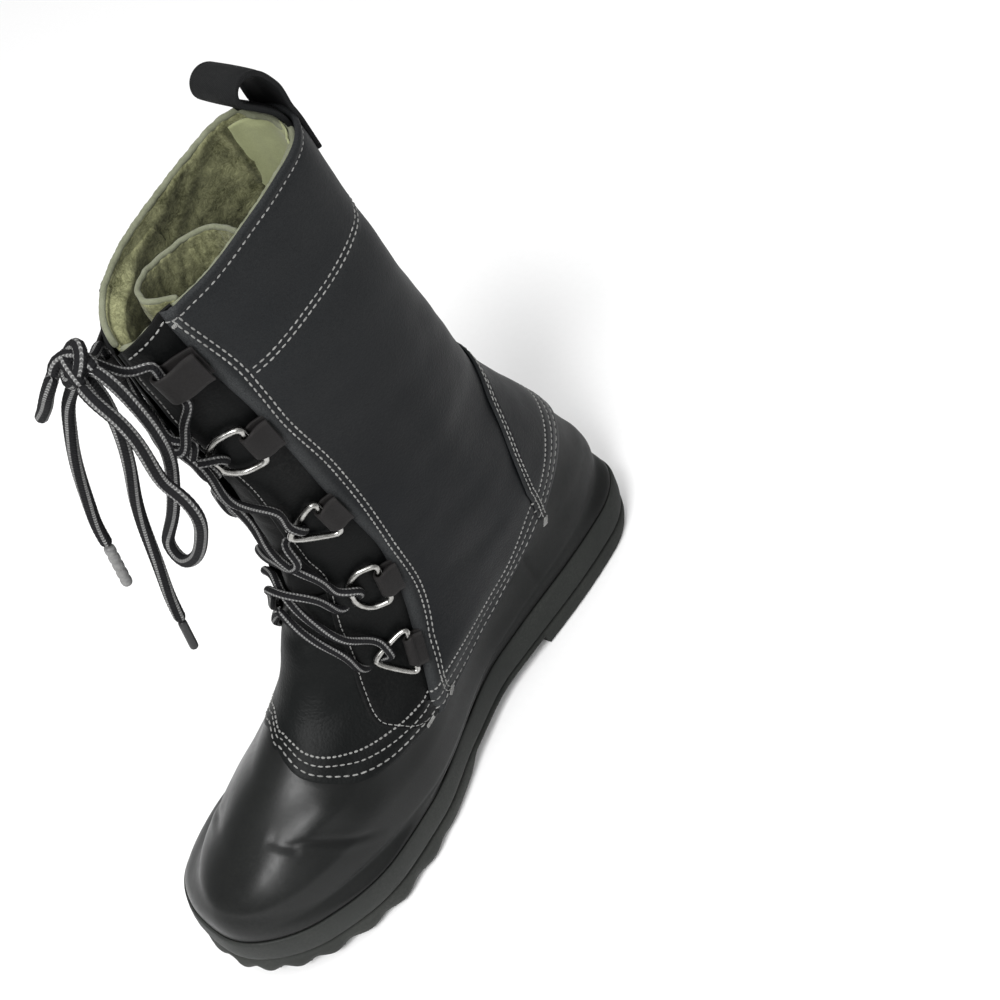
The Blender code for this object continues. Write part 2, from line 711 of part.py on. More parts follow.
# ---------------------------------------------------------------- heel counter and pull loop
def build_counter():
    outer = []
    inner = []
    count = 15
    for r in range(6):
        row_out = []
        row_in = []
        for c in range(count):
            way = 1 - 2 * c / (count - 1)
            z = 80.0
            for _ in range(8):
                edge = counter_front(z)
                u = 1 - abs(way) * (1 - edge)
                low = lower_edge(u) + 0.6
                z = low + (counter_top(max(u, 0.64)) - low) * r / 5
            girth = u if way >= 0 else -u
            row_out.append(last_offset(girth, z, GAP + 1.9))
            row_in.append(last_offset(girth, z, GAP + 0.7))
        outer.append(row_out)
        inner.append(row_in)
    return sheet_body("heel_counter", outer, inner, COUNTER_LEATHER, sharp=50)


def back_wall(x, z):
    """y of the shaft's outer face at the back, x away from its middle."""
    near = 1.0
    far = 0.75
    for _ in range(20):
        u = 0.5 * (near + far)
        if last_point(u, z)[0] < x:
            near = u
        else:
            far = u
    return last_point(u, z)[1]


def build_pull_loop():
    seat = PULL_THICK / 2 + 1.1
    route = [(back_wall(0, z) + seat, z) for z in PULL_OUTER_SEAM] + list(PULL_FREE)
    route += [(back_wall(0, z) - LEATHER - seat, z) for z in PULL_INNER_SEAM]
    path = spline_points(route, 23)
    outer = []
    inner = []
    for i, (y, z) in enumerate(path):
        ahead = path[min(i + 1, len(path) - 1)]
        behind = path[max(i - 1, 0)]
        run = (ahead - behind) / np.linalg.norm(ahead - behind)
        n = np.array([0.0, run[1], -run[0]])
        free = smoothstep((z - 304.0) / 12.0)
        row_out = []
        row_in = []
        for x in (-11.0, -7.0, 0.0, 7.0, 11.0):
            hug = (back_wall(0, min(z, 304)) - back_wall(abs(x), min(z, 304))) * (1 - free)
            p = np.array([x * PULL_WIDTH / 22, y - hug, z])
            row_out.append(p + n * PULL_THICK / 2)
            row_in.append(p - n * PULL_THICK / 2)
        outer.append(row_out)
        inner.append(row_in)
    return sheet_body("pull_loop", outer, inner, STRAP, sharp=50)


build_counter()
build_pull_loop()


# ---------------------------------------------------------------- rings, tabs and lace loops
def local_frame(u, z, nose, width):
    """Seat on the eyestay: origin, direction towards the throat, direction up the facing, outward normal.

    The origin is raised until a flat tab of this width clears the curved eyestay under it.
    """
    origin = last_offset(u, z, -EYESTAY_DROP * thinning(u, z))
    n = last_normal(u, z)
    above = last_point(math.copysign(facing_edge(z + 6), u), z + 6)
    below = last_point(math.copysign(facing_edge(z - 6), u), z - 6)
    up = above - below
    up = up - n * np.dot(up, n)
    up = up / np.linalg.norm(up)
    forward = np.cross(up, n)
    if np.dot(forward, last_point(u * 0.9, z) - origin) < 0:
        forward = -forward
    edge = last_point(math.copysign(facing_edge(z), u), z)
    tail = np.dot(origin - edge, forward) - 2.6
    rise = 0.0
    for i in range(9):
        for j in range(9):
            v = u + math.copysign(0.012 * (i - 5), u)
            height = z + (width + 2) * (j - 4) / 8
            p = last_offset(v, height, -EYESTAY_DROP * thinning(v, height)) - origin
            if -tail - 1 < np.dot(p, forward) < nose + 1:
                rise = max(rise, np.dot(p, n))
    return origin + n * rise, forward, up, n, tail


def tab(name, u, z, hole, height, width):
    """Leather strip folded around a wire or a lace: a rounded nose with a channel, and a flat tail."""
    nose = hole + 1.0
    origin, forward, up, n, tail = local_frame(u, z, nose, width)
    outline = [(nose, 0), (nose * 0.87, nose * 0.5), (nose * 0.5, nose * 0.87), (0, nose),
               (-0.5 * tail, nose - 0.4), (-tail, nose - 1.4), (-tail, -height + 0.35),
               (-0.5 * tail, -height + 0.3), (0, -nose), (nose * 0.5, -nose * 0.87), (nose * 0.87, -nose * 0.5)]
    angles = (0, 30, 60, 90, 125, 160, 200, 235, 270, 300, 330)
    points = []
    for end in (-width / 2, width / 2):
        for f, h in outline:
            points.append(origin + forward * f + n * (height + h) + up * end)
        for a in angles:
            f = hole * math.cos(math.radians(a))
            h = hole * math.sin(math.radians(a))
            points.append(origin + forward * f + n * (height + h) + up * end)
    m = len(outline)
    faces = []
    for j in range(m):
        k = (j + 1) % m
        faces.append([j, k, m + k, m + j])
        faces.append([2 * m + j, 2 * m + k, 3 * m + k, 3 * m + j])
        faces.append([j, k, 2 * m + k, 2 * m + j])
        faces.append([m + j, m + k, 3 * m + k, 3 * m + j])
    return make_object(name, points, faces, TAB, 40)


def ring_path(reach, half, pointed):
    """Plan of a ring: the bar inside the tab, then a round bow or a pointed one."""
    if pointed:
        plan = [(-0.84, 0), (-0.97, 0.05), (-1.0, 0.17), (-0.84, 0.38), (-0.58, 0.62), (-0.30, 0.87),
                (-0.12, 0.98), (0.12, 0.98), (0.30, 0.87), (0.58, 0.62), (0.84, 0.38), (1.0, 0.17),
                (0.97, 0.05), (0.84, 0)]
    else:
        plan = [(-0.82, 0), (-0.96, 0.05), (-1.0, 0.18), (-1.0, 0.38), (-0.9, 0.62), (-0.68, 0.83),
                (-0.36, 0.96), (0, 1.0), (0.36, 0.96), (0.68, 0.83), (0.9, 0.62), (1.0, 0.38),
                (1.0, 0.18), (0.96, 0.05), (0.82, 0)]
    return [(v * half, f * reach) for v, f in plan]


RING_HEIGHT = WIRE + 0.45 + 1.0 + 0.35
NAMES = ("a", "b", "c", "d")
ring_ends = {}


def build_ring_level(side, number):
    z, u, reach, half, pointed = LEVELS[number]
    label = ("medial_" if side > 0 else "lateral_") + NAMES[number]
    girth = side * u
    tab("tab_" + label, girth, z, WIRE + 0.45, RING_HEIGHT, TAB_WIDTH)
    origin, forward, up, n, tail = local_frame(girth, z, WIRE + 1.35, TAB_WIDTH)
    centre = origin + n * RING_HEIGHT
    away = forward * math.cos(RING_TILT) + n * math.sin(RING_TILT)
    path = [centre + up * v + away * f for v, f in ring_path(reach, half, pointed)]
    points, faces = tube_mesh(path, WIRE, 6, closed=True, up=np.cross(away, up))
    make_object("ring_" + label, points, faces, STEEL, 60)
    ring_ends[(side, number)] = (centre + away * (reach + (1.5 if pointed else 3.4)), away, up)


for side in (-1, 1):
    for number in range(4):
        build_ring_level(side, number)
    where = "medial" if side > 0 else "lateral"
    tab("lace_loop_tab_" + where, side * TOP_LOOP[1], TOP_LOOP[0], LACE + 0.4, LACE + 0.4 + 1.0 + 0.35, 18.0)


# ---------------------------------------------------------------- laces
def lace_strand(name, start, finish, middle):
    route = [start] + middle + [finish]
    points, faces = tube_mesh(spline_points(route, 10), LACE, 8)
    return make_object(name, points, faces, LACE_CLOTH, 60)


def ring_exit(side, number, lift):
    end, away, up = ring_ends[(side, number)]
    return end + up * 3.0 * lift


def surface_route(u0, z0, u1, z1, shares):
    return [last_offset(u0 + (u1 - u0) * t, z0 + (z1 - z0) * t, 3.6) for t in shares]


RING_TIPS = (0.235, 0.185, 0.135, 0.115)      # girth of the ring tips, lowest level first
for low in range(3):
    strands = []
    for side in (-1, 1):
        z0 = LEVELS[low][0] + 6
        z1 = LEVELS[low + 1][0] - 2
        middle = surface_route(side * RING_TIPS[low], z0, -side * RING_TIPS[low + 1], z1, (0.25, 0.5, 0.75))
        name = "lace_cross_" + NAMES[low] if side > 0 else "cross_tool_" + NAMES[low]
        strands.append(lace_strand(name, ring_exit(side, low, 1), ring_exit(-side, low + 1, -1), middle))
    union(strands[1], strands[0])


def loop_mouth(side, way):
    """Just outside the top lace loop, at its upper (1) or lower (-1) mouth."""
    origin, forward, up, n, tail = local_frame(side * TOP_LOOP[1], TOP_LOOP[0], LACE + 1.4, 18.0)
    return origin + n * (LACE + 0.4 + 1.0 + 0.35) + up * way * (9.0 + GAP), up * way


strands = []
for side in (-1, 1):
    mouth, run = loop_mouth(-side, -1)
    middle = surface_route(side * RING_TIPS[3], 226.0, -side * 0.20, 246.0, (0.25, 0.5, 0.75))
    name = "lace_cross_d" if side > 0 else "cross_tool_d"
    strands.append(lace_strand(name, ring_exit(side, 3, 1), mouth, middle + [mouth + run * 4.0]))
union(strands[1], strands[0])

bar_middle = surface_route(-RING_TIPS[0], 84.0, RING_TIPS[0], 84.0, (0.25, 0.5, 0.75))
lace_strand("lace_bar", ring_exit(-1, 0, -1), ring_exit(1, 0, -1), bar_middle)

TOP_MEET = ((-1, ((-9.5, -48.5, 273.5), (-3.0, -54.3, 278.3), (1.2, -56.6, 280.9))),
            (1, ((10.5, -48.5, 273.0), (5.0, -54.3, 277.8), (1.8, -56.8, 281.0))))
strands = []
for side, way in TOP_MEET:
    mouth, run = loop_mouth(side, 1)
    name = "lace_top" if side > 0 else "top_tool"
    route = [mouth + run * 3.0] + [np.array(p, float) for p in way]
    strands.append(lace_strand(name, mouth, route[-1], route[:-1]))
union(strands[1], strands[0])


def build_knot():
    work = bmesh.new()
    bmesh.ops.create_icosphere(work, subdivisions=2, radius=1.0)
    points = [np.array(KNOT_CENTRE) + np.array(KNOT_RADII) * np.array(v.co) for v in work.verts]
    faces = [[v.index for v in f.verts] for f in work.faces]
    work.free()
    return make_object("lace_knot", points, faces, LACE_CLOTH, 60)


def aglet(name, ends, radius, material):
    points, faces = tube_mesh(spline_points(ends, 3), radius, 10)
    return make_object(name, points, faces, material, 60)


build_knot()
cord("lace_loop_long", LOOP_LONG, 22, LACE_CLOTH)
cord("lace_loop_short", LOOP_SHORT, 13, LACE_CLOTH)
cord("lace_tail_lateral", TAIL_LATERAL, 10, LACE_CLOTH)
cord("lace_tail_medial", TAIL_MEDIAL, 12, LACE_CLOTH)
aglet("aglet_lateral", AGLET_LATERAL, 2.2, AGLET_GREY)
aglet("aglet_medial", AGLET_MEDIAL, 2.2, AGLET_DARK)
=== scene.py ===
"""Looks of a right-foot lace-up winter boot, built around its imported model.

Frame: toe towards -Y, medial side towards +X, floor at z = 0. Tables are in millimetres and every point
is scaled to metres once, when its mesh is shaped.
"""
from contextlib import contextmanager
import math

import bmesh
import bpy
import numpy as np
from mathutils import Matrix, Vector


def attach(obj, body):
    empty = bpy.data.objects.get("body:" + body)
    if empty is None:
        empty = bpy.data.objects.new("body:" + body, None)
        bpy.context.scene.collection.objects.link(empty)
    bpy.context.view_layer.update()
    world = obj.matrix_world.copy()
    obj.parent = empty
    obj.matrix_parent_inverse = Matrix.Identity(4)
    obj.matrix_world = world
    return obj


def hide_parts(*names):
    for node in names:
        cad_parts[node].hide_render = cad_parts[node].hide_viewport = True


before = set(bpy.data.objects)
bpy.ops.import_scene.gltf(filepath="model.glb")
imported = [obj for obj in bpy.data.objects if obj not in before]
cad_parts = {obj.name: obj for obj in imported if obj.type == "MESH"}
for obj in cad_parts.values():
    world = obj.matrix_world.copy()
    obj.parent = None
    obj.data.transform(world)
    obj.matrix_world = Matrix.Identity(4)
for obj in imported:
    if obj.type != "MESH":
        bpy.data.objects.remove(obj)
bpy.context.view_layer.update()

MM = 0.001
SIDES = ((1, "medial"), (-1, "lateral"))
rng = np.random.default_rng(51)

# ---- camera
EYE = Vector((0.3690, -0.2152, 0.5619))
AZIMUTH = math.radians(51.26)         # the eye looks from the toe's medial side
ELEVATION = math.radians(46.594)
ROLL = math.radians(-20.908)
LENS = 53.2


def place_camera():
    back = Vector((math.sin(AZIMUTH) * math.cos(ELEVATION), -math.cos(AZIMUTH) * math.cos(ELEVATION),
                   math.sin(ELEVATION)))
    right = Vector((math.cos(AZIMUTH), math.sin(AZIMUTH), 0.0))
    up = back.cross(right)
    across = right * math.cos(ROLL) + up * math.sin(ROLL)
    upward = up * math.cos(ROLL) - right * math.sin(ROLL)
    data = bpy.data.cameras.new("camera")
    data.sensor_width = 36.0
    data.lens = LENS
    data.clip_start = 0.01
    data.clip_end = 20.0
    camera = bpy.data.objects.new("camera", data)
    camera.matrix_world = Matrix.Translation(EYE) @ Matrix((across, upward, back)).transposed().to_4x4()
    bpy.context.scene.collection.objects.link(camera)
    bpy.context.scene.camera = camera


place_camera()

# ---- curves
def curve_through(rows):
    """Function that reads the smooth curve through (position, value, value...) rows, for arrays of positions."""
    table = np.array(rows, float)
    x = table[:, 0]
    y = table[:, 1:]
    step = np.diff(x)[:, None]
    rise = np.diff(y, axis=0) / step
    slope = np.zeros_like(y)
    same = rise[:-1] * rise[1:] > 0
    w1 = 2 * step[1:] + step[:-1]
    w2 = step[1:] + 2 * step[:-1]
    slope[1:-1] = np.where(same, (w1 + w2) / (w1 / np.where(same, rise[:-1], 1) + w2 / np.where(same, rise[1:], 1)), 0)
    slope[0] = rise[0]
    slope[-1] = rise[-1]

    def read(position):
        p = np.clip(np.asarray(position, float), x[0], x[-1])
        i = np.clip(np.searchsorted(x, p, side="right") - 1, 0, len(x) - 2)
        h = (x[i + 1] - x[i])[..., None]
        t = (p - x[i])[..., None] / h
        value = ((2 * t ** 3 - 3 * t ** 2 + 1) * y[i] + (t ** 3 - 2 * t ** 2 + t) * h * slope[i]
                 + (t ** 3 - t ** 2) * h * slope[i + 1] + (3 * t ** 2 - 2 * t ** 3) * y[i + 1])
        return value[..., 0] if y.shape[1] == 1 else value

    return read


def ease(t):
    t = np.clip(t, 0.0, 1.0)
    return t * t * (3 - 2 * t)


def bell(distance, width):
    """1 at no distance, falling away to nothing past the width."""
    return np.exp(-(distance / width) ** 2)


def roll_in(distance, radius):
    """How far a rounded edge has fallen away: 1 at the edge, 0 from its radius inwards."""
    return 1 - np.sqrt(np.clip(1 - np.clip(1 - distance / radius, 0, 1) ** 2, 0, 1))


def unit(vectors):
    return vectors / np.linalg.norm(vectors, axis=-1, keepdims=True)


def added_up(steps):
    return np.concatenate(([0.0], np.cumsum(steps)))


def run_so_far(points):
    """Length along a line from its start to each of its points."""
    return added_up(np.linalg.norm(np.diff(points, axis=0), axis=1))


def evenly(route, count):
    """Evenly spaced points on the natural cubic spline through the route's own points."""
    p = np.array(route, float)
    chord = run_so_far(p)
    n = len(p)
    a = np.zeros((n, n))
    b = np.zeros_like(p)
    a[0, 0] = a[-1, -1] = 1.0
    for i in range(1, n - 1):
        h0 = chord[i] - chord[i - 1]
        h1 = chord[i + 1] - chord[i]
        a[i, i - 1:i + 2] = (h0, 2 * (h0 + h1), h1)
        b[i] = 6 * ((p[i + 1] - p[i]) / h1 - (p[i] - p[i - 1]) / h0)
    bend = np.linalg.solve(a, b)
    fine = []
    for i in range(n - 1):
        h = chord[i + 1] - chord[i]
        t = np.linspace(0, 1, 16, endpoint=(i == n - 2))[:, None]
        q = 1 - t
        fine.append(q * p[i] + t * p[i + 1] + h * h / 6 * ((q ** 3 - q) * bend[i] + (t ** 3 - t) * bend[i + 1]))
    fine = np.concatenate(fine)
    run = run_so_far(fine)
    spots = np.linspace(0, run[-1], count)
    return np.stack([np.interp(spots, run, fine[:, k]) for k in range(p.shape[1])], axis=1)


def run_length(points):
    return float(run_so_far(points)[-1])


# ---- the last
# Sections from the sole up to the collar: half-widths at the toe, ball, waist and heel, medial then lateral,
# and how far the rounding of the front and of the back reaches, as a share of the section's length.
SECTIONS = (
    # z   front   back   toe   ball  waist heel  toe ball waist heel front back
    (20, -146.0, 142.0, 43.0, 47.5, 31.0, 33.0, 40, 42, 38, 34, 0.25, 0.26),
    (32, -145.0, 142.5, 42.0, 46.5, 31.0, 32.0, 39, 41, 38, 33, 0.25, 0.26),
    (45, -140.5, 142.0, 40.0, 44.0, 30.0, 31.0, 36, 38, 36, 32, 0.25, 0.27),
    (58, -121.0, 138.0, 35.0, 40.0, 31.0, 30.0, 31, 34, 35, 30, 0.30, 0.28),
    (70, -95.0, 132.0, 31.0, 40.0, 34.0, 30.0, 28, 34, 36, 30, 0.36, 0.30),
    (85, -68.0, 125.0, 30.0, 38.0, 36.0, 31.0, 30, 35, 36, 31, 0.42, 0.32),
    (100, -53.0, 117.0, 31.0, 37.0, 37.0, 33.0, 32, 36, 37, 33, 0.45, 0.36),
    (120, -43.5, 105.0, 33.0, 37.0, 37.0, 33.0, 34, 37, 37, 33, 0.50, 0.42),
    (150, -37.0, 89.0, 33.0, 36.0, 36.0, 32.0, 33, 36, 36, 32, 0.50, 0.45),
    (190, -39.0, 78.0, 31.0, 34.0, 34.0, 31.0, 31, 34, 34, 31, 0.50, 0.40),
    (230, -44.0, 67.0, 29.0, 32.0, 32.0, 29.0, 29, 32, 32, 29, 0.50, 0.33),
    (275, -48.0, 57.0, 23.0, 25.0, 25.0, 23.0, 23, 25, 25, 23, 0.50, 0.25),
    (310, -50.0, 50.0, 21.0, 22.0, 22.0, 21.0, 21, 22, 22, 21, 0.50, 0.22),
)
STATIONS = (0.12, 0.34, 0.60, 0.86)   # toe, ball, waist and heel, as a share of the section's length
TOE_SWING = 5.0               # how far the toe leans to the medial side
SOLE_TIP = -146.0             # y of the sole's ends
SOLE_HEEL = 145.0
OUTLINE_MEDIAL = ((5, -146), (26, -138), (41, -117), (50, -80), (48, -50), (38, -12), (31.5, 25),
                  (32, 75), (30, 113), (16, 141), (-2, 145))
OUTLINE_LATERAL = ((5, -146), (-13, -143.5), (-33, -129), (-45, -92), (-47, -45), (-41, 10),
                   (-38.5, 60), (-35, 112), (-20, 140), (-2, 145))
BAND_TOP = ((-144, 31), (-100, 26), (-50, 25), (0, 26), (60, 29), (144, 30))   # y, z of the midsole's top

# Lines drawn on the last: u runs from 0 at the front centre to 1 at the back centre on each side.
LOWER_EDGE = ((0, 78), (0.05, 76.3), (0.10, 73.6), (0.16, 70), (0.20, 67.4), (0.24, 64.5), (0.295, 60.4),
              (0.34, 57.8), (0.39, 55.6), (0.45, 52.6), (0.51, 50), (0.55, 51.5), (0.59, 60), (0.62, 66), (0.66, 72),
              (0.70, 77), (0.78, 85), (0.88, 90), (1.0, 91.5))                # u, z of the leather's edge
THROAT_EDGE = ((58, 0.397), (66, 0.34), (73, 0.287), (90, 0.22), (104, 0.187), (117, 0.163),
               (139, 0.157), (155, 0.127), (197, 0.113), (210, 0.100), (238, 0.040), (262, 0.022),
               (275, 0.010), (290, 0.008))
FACING_EDGE = ((55, 0.43), (72, 0.377), (83, 0.353), (100, 0.333), (141, 0.320), (165, 0.303),
               (190, 0.287), (232, 0.280), (250, 0.267), (280, 0.247))       # z, u of the facing's front edge
FACING_SEAM = ((53, 0.463), (76.5, 0.39), (91, 0.367), (117.5, 0.36), (148, 0.343), (165, 0.343),
               (195, 0.337), (229, 0.32), (248.5, 0.32), (285, 0.267))       # z, u of its double stitching
COUNTER_CORNER = 0.633       # u where the counter's top edge turns down into its front edge
COUNTER_TOP = ((COUNTER_CORNER, 97.0), (0.643, 106.0), (0.697, 127.5), (0.78, 146), (0.913, 157.5), (1.0, 160))
COUNTER_FRONT = ((68, 0.66), (82, 0.643), (97, COUNTER_CORNER))
CUFF_SEAM = ((0.317, 247.2), (0.43, 250), (0.56, 253), (0.70, 256), (0.863, 258.3), (1.0, 259.5))

GIRTH = 110.0                 # millimetres of leather from the front to the back of the shaft, about
FACING_LEAN = 0.93            # the facing leans, so its width is a little less than its share of the girth
LEATHER = 2.8                 # thickness of the shaft leather
EYESTAY_DROP = 1.2            # how far the under leathers lie below the shaft leather's face
VAMP_DROP = 2.2
SKIN = -1.6                   # rubber skin, from the leather's outer face
TONGUE_FACE = -5.6            # tongue leather, from the shaft leather's outer face
HEEL_BREAST = 53.0            # y of the front of the heel block

# Rows of stitching, in millimetres from the line that they follow.
FACING_ROWS = (-1.05, 1.05)
CUFF_ROWS = (1.2, 3.4)
COUNTER_ROWS = (2.0, 4.2)
THROAT_ROW = 2.3
COLLAR_ROW = 3.9

section = curve_through(SECTIONS)
medial_edge = curve_through(LOWER_EDGE)
throat_edge = curve_through(THROAT_EDGE)
facing_edge = curve_through(FACING_EDGE)
facing_seam = curve_through(FACING_SEAM)
band_top = curve_through(BAND_TOP)
counter_top = curve_through(COUNTER_TOP)
counter_front = curve_through(COUNTER_FRONT)
cuff_seam = curve_through(CUFF_SEAM)


def lower_edge(u):
    """Height of the leather's lower edge; round the lateral side of the instep it stays high for longer."""
    u = np.asarray(u, float)
    return medial_edge(np.abs(u)) + 5.5 * ease(-u / 0.13) * ease((0.46 + u) / 0.26)


def on_last(u, z):
    """Outer face of the shaft leather at girth position u (0 front, 1 back, + medial) and height z, as arrays."""
    u, z = np.broadcast_arrays(np.asarray(u, float), np.asarray(z, float))
    u = (u + 1.0) % 2.0 - 1.0
    row = section(z)
    medial = (u >= 0)[..., None]
    widths = np.where(medial, row[..., 2:6], row[..., 6:10])
    s = 0.5 * (1 - np.cos(np.pi * np.abs(u)))
    width = widths[..., 0].copy()
    for i in range(3):
        t = ease((s - STATIONS[i]) / (STATIONS[i + 1] - STATIONS[i]))
        width = np.where(s > STATIONS[i], widths[..., i] * (1 - t) + widths[..., i + 1] * t, width)
    front = np.maximum(1 - s / row[..., 10], 0.0)
    back = np.maximum(1 - (1 - s) / row[..., 11], 0.0)
    x = width * np.sqrt(np.maximum(1 - front ** 2.2, 0.0)) * np.sqrt(np.maximum(1 - back ** 2.2, 0.0))
    swing = TOE_SWING * np.clip((100 - z) / 40, 0.0, 1.0) * (1 - s) ** 4
    return np.stack([np.where(u < 0, -x, x) + swing, row[..., 0] + (row[..., 1] - row[..., 0]) * s, z], axis=-1)


NUDGE = 0.004                 # small step in girth position, for slopes


def last_normal(u, z):
    around = on_last(u + NUDGE, z) - on_last(u - NUDGE, z)
    up = on_last(u, z + 0.5) - on_last(u, z - 0.5)
    return unit(np.cross(around, up))


def off_last(u, z, distance):
    u, z = np.broadcast_arrays(np.asarray(u, float), np.asarray(z, float))
    return on_last(u, z) + np.broadcast_to(np.asarray(distance, float), u.shape)[..., None] * last_normal(u, z)


def rim_height(x, y):
    """The collar's top line leans back: low at the front, high at the pull loop."""
    return 292.35 + 12.77 * y / 60 + 1.86 * x / 45


def collar(u, drop=0.0):
    """Height at which girth position u meets the collar's top line, which dips to a point at the front."""
    z = np.full(np.shape(u), 285.0)
    for _ in range(5):
        p = on_last(u, z)
        z = rim_height(p[..., 0], p[..., 1]) - 7.5 * np.clip(1 - np.abs(u) / 0.24, 0, 1)
    return z - drop


# ---- the sole's own curves
def outline_rows(points):
    return [(math.acos(1 - 2 * (y - SOLE_TIP) / (SOLE_HEEL - SOLE_TIP)) / math.pi, x) for x, y in points]


medial_rows = outline_rows(OUTLINE_MEDIAL)
around_rows = [(-u, x) for u, x in reversed(outline_rows(OUTLINE_LATERAL))] + medial_rows[1:]
outline_x = curve_through([(u - 2, x) for u, x in around_rows[-4:-1]] + around_rows
                          + [(u + 2, x) for u, x in around_rows[1:4]])


def outline_point(u, inset):
    """Points of the sole's outline at girth positions u, moved inwards by inset."""
    u, inset = np.broadcast_arrays((np.asarray(u, float) + 1.0) % 2.0 - 1.0, np.asarray(inset, float))

    def at(v):
        return np.stack([outline_x(v), SOLE_TIP + (SOLE_HEEL - SOLE_TIP) * 0.5 * (1 - np.cos(np.pi * v))], axis=-1)

    run = at(u + 0.01) - at(u - 0.01)
    n = np.stack([run[..., 1], -run[..., 0]], axis=-1)
    n = n / np.maximum(np.linalg.norm(n, axis=-1, keepdims=True), 1e-9)
    n = np.where((np.abs(u) > 0.995)[..., None], np.array([0.0, 1.0]), n)
    return at(u) - inset[..., None] * n


def raised(plan, z):
    """Points of a plan, given their heights."""
    return np.concatenate([plan, np.broadcast_to(z, plan.shape[:-1])[..., None]], axis=-1)


def toe_spring(y):
    return 7.0 * (np.maximum(-y - 70.0, 0.0) / 74.0) ** 2


def outsole_top(y):
    return 11.0 + 5.0 * (np.clip(-y - 90.0, 0.0, 60.0) / 50.0) ** 2


def thinning(u, z):
    return 0.3 + 0.7 * ease((z - lower_edge(u)) / 25.0)


# ---- shaping helpers
def pick(*things):
    """Selects these objects alone, the first of them active; with none, selects nothing."""
    bpy.ops.object.select_all(action="DESELECT")
    for thing in things:
        thing.select_set(True)
    if things:
        bpy.context.view_layer.objects.active = things[0]


@contextmanager
def reworked(thing):
    """The piece's mesh as a bmesh, written back when the work is done."""
    work = bmesh.new()
    work.from_mesh(thing.data)
    yield work
    work.to_mesh(thing.data)
    work.free()


def smooth_by_angle(thing, degrees):
    pick(thing)
    bpy.ops.object.shade_smooth_by_angle(angle=math.radians(degrees))


def finish_piece(thing, name, material, slot, *nodes):
    """Names the piece, gives it its finish and its body, and hides the frame's solids it stands for."""
    thing.name = name
    thing.data.name = name
    thing.data.materials.clear()
    thing.data.materials.append(material)
    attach(thing, "root")
    if nodes:
        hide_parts(*nodes)
    return thing


def laid_grid(points, pattern):
    """A grid primitive whose vertices are laid on rows of points; its UV map is the pattern."""
    rows, cols = points.shape[:2]
    pick()
    bpy.ops.mesh.primitive_grid_add(x_subdivisions=cols - 1, y_subdivisions=rows - 1, size=1.0)
    thing = bpy.context.object
    mesh = thing.data
    mesh.vertices.foreach_set("co", (points * MM).reshape(-1).astype(np.float32))
    corner = np.empty(len(mesh.loops), np.int32)
    mesh.loops.foreach_get("vertex_index", corner)
    layer = mesh.uv_layers[0] if mesh.uv_layers else mesh.uv_layers.new(name="cloth")
    layer.name = "cloth"
    layer.data.foreach_set("uv", pattern.reshape(-1, 2)[corner].reshape(-1).astype(np.float32))
    return thing


def draped_grid(points):
    """A sheet laid on rows of points, facing outwards; its UV map holds millimetres."""
    across = np.linalg.norm(np.diff(points, axis=1), axis=2).mean(axis=0)
    along = np.linalg.norm(np.diff(points, axis=0), axis=2).mean(axis=1)
    thing = laid_grid(points, np.stack(np.meshgrid(added_up(across), added_up(along)), axis=-1))
    thing.data.update()
    face_outwards(thing)
    thing.data.shade_smooth()
    return thing


def face_outwards(thing):
    """Turns a sheet so that its faces look away from the last's middle."""
    mesh = thing.data
    n = len(mesh.polygons)
    centre = np.empty(3 * n)
    normal = np.empty(3 * n)
    mesh.polygons.foreach_get("center", centre)
    mesh.polygons.foreach_get("normal", normal)
    centre = centre.reshape(-1, 3)
    normal = normal.reshape(-1, 3)
    middle = np.stack([np.zeros(n), np.clip(centre[:, 1], -0.11, 0.03), centre[:, 2] * 0.6], axis=1)
    if (normal * (centre - middle)).sum() < 0:
        mesh.flip_normals()


def apply_modifier(thing, kind, **settings):
    pick(thing)
    modifier = thing.modifiers.new(kind.title(), kind)
    for key, value in settings.items():
        setattr(modifier, key, value)
    bpy.ops.object.modifier_apply(modifier=modifier.name)


def round_edges(thing, rounding, segments=2, degrees=50):
    apply_modifier(thing, "BEVEL", width=rounding * MM, segments=segments, limit_method="ANGLE",
                   angle_limit=math.radians(degrees))


def thicken(thing, inwards, rounding=0.0):
    """Gives leather its thickness on the inner side, then rounds the cut edges."""
    apply_modifier(thing, "SOLIDIFY", thickness=inwards * MM, offset=-1.0)
    if rounding:
        round_edges(thing, rounding)
    smooth_by_angle(thing, 50)


def pad(thing, thickness, rounding=0.0, segments=2, offset=-1.0):
    """Gives felt or webbing its thickness and leaves it soft all over."""
    apply_modifier(thing, "SOLIDIFY", thickness=thickness * MM, offset=offset)
    if rounding:
        round_edges(thing, rounding, segments)
    thing.data.shade_smooth()


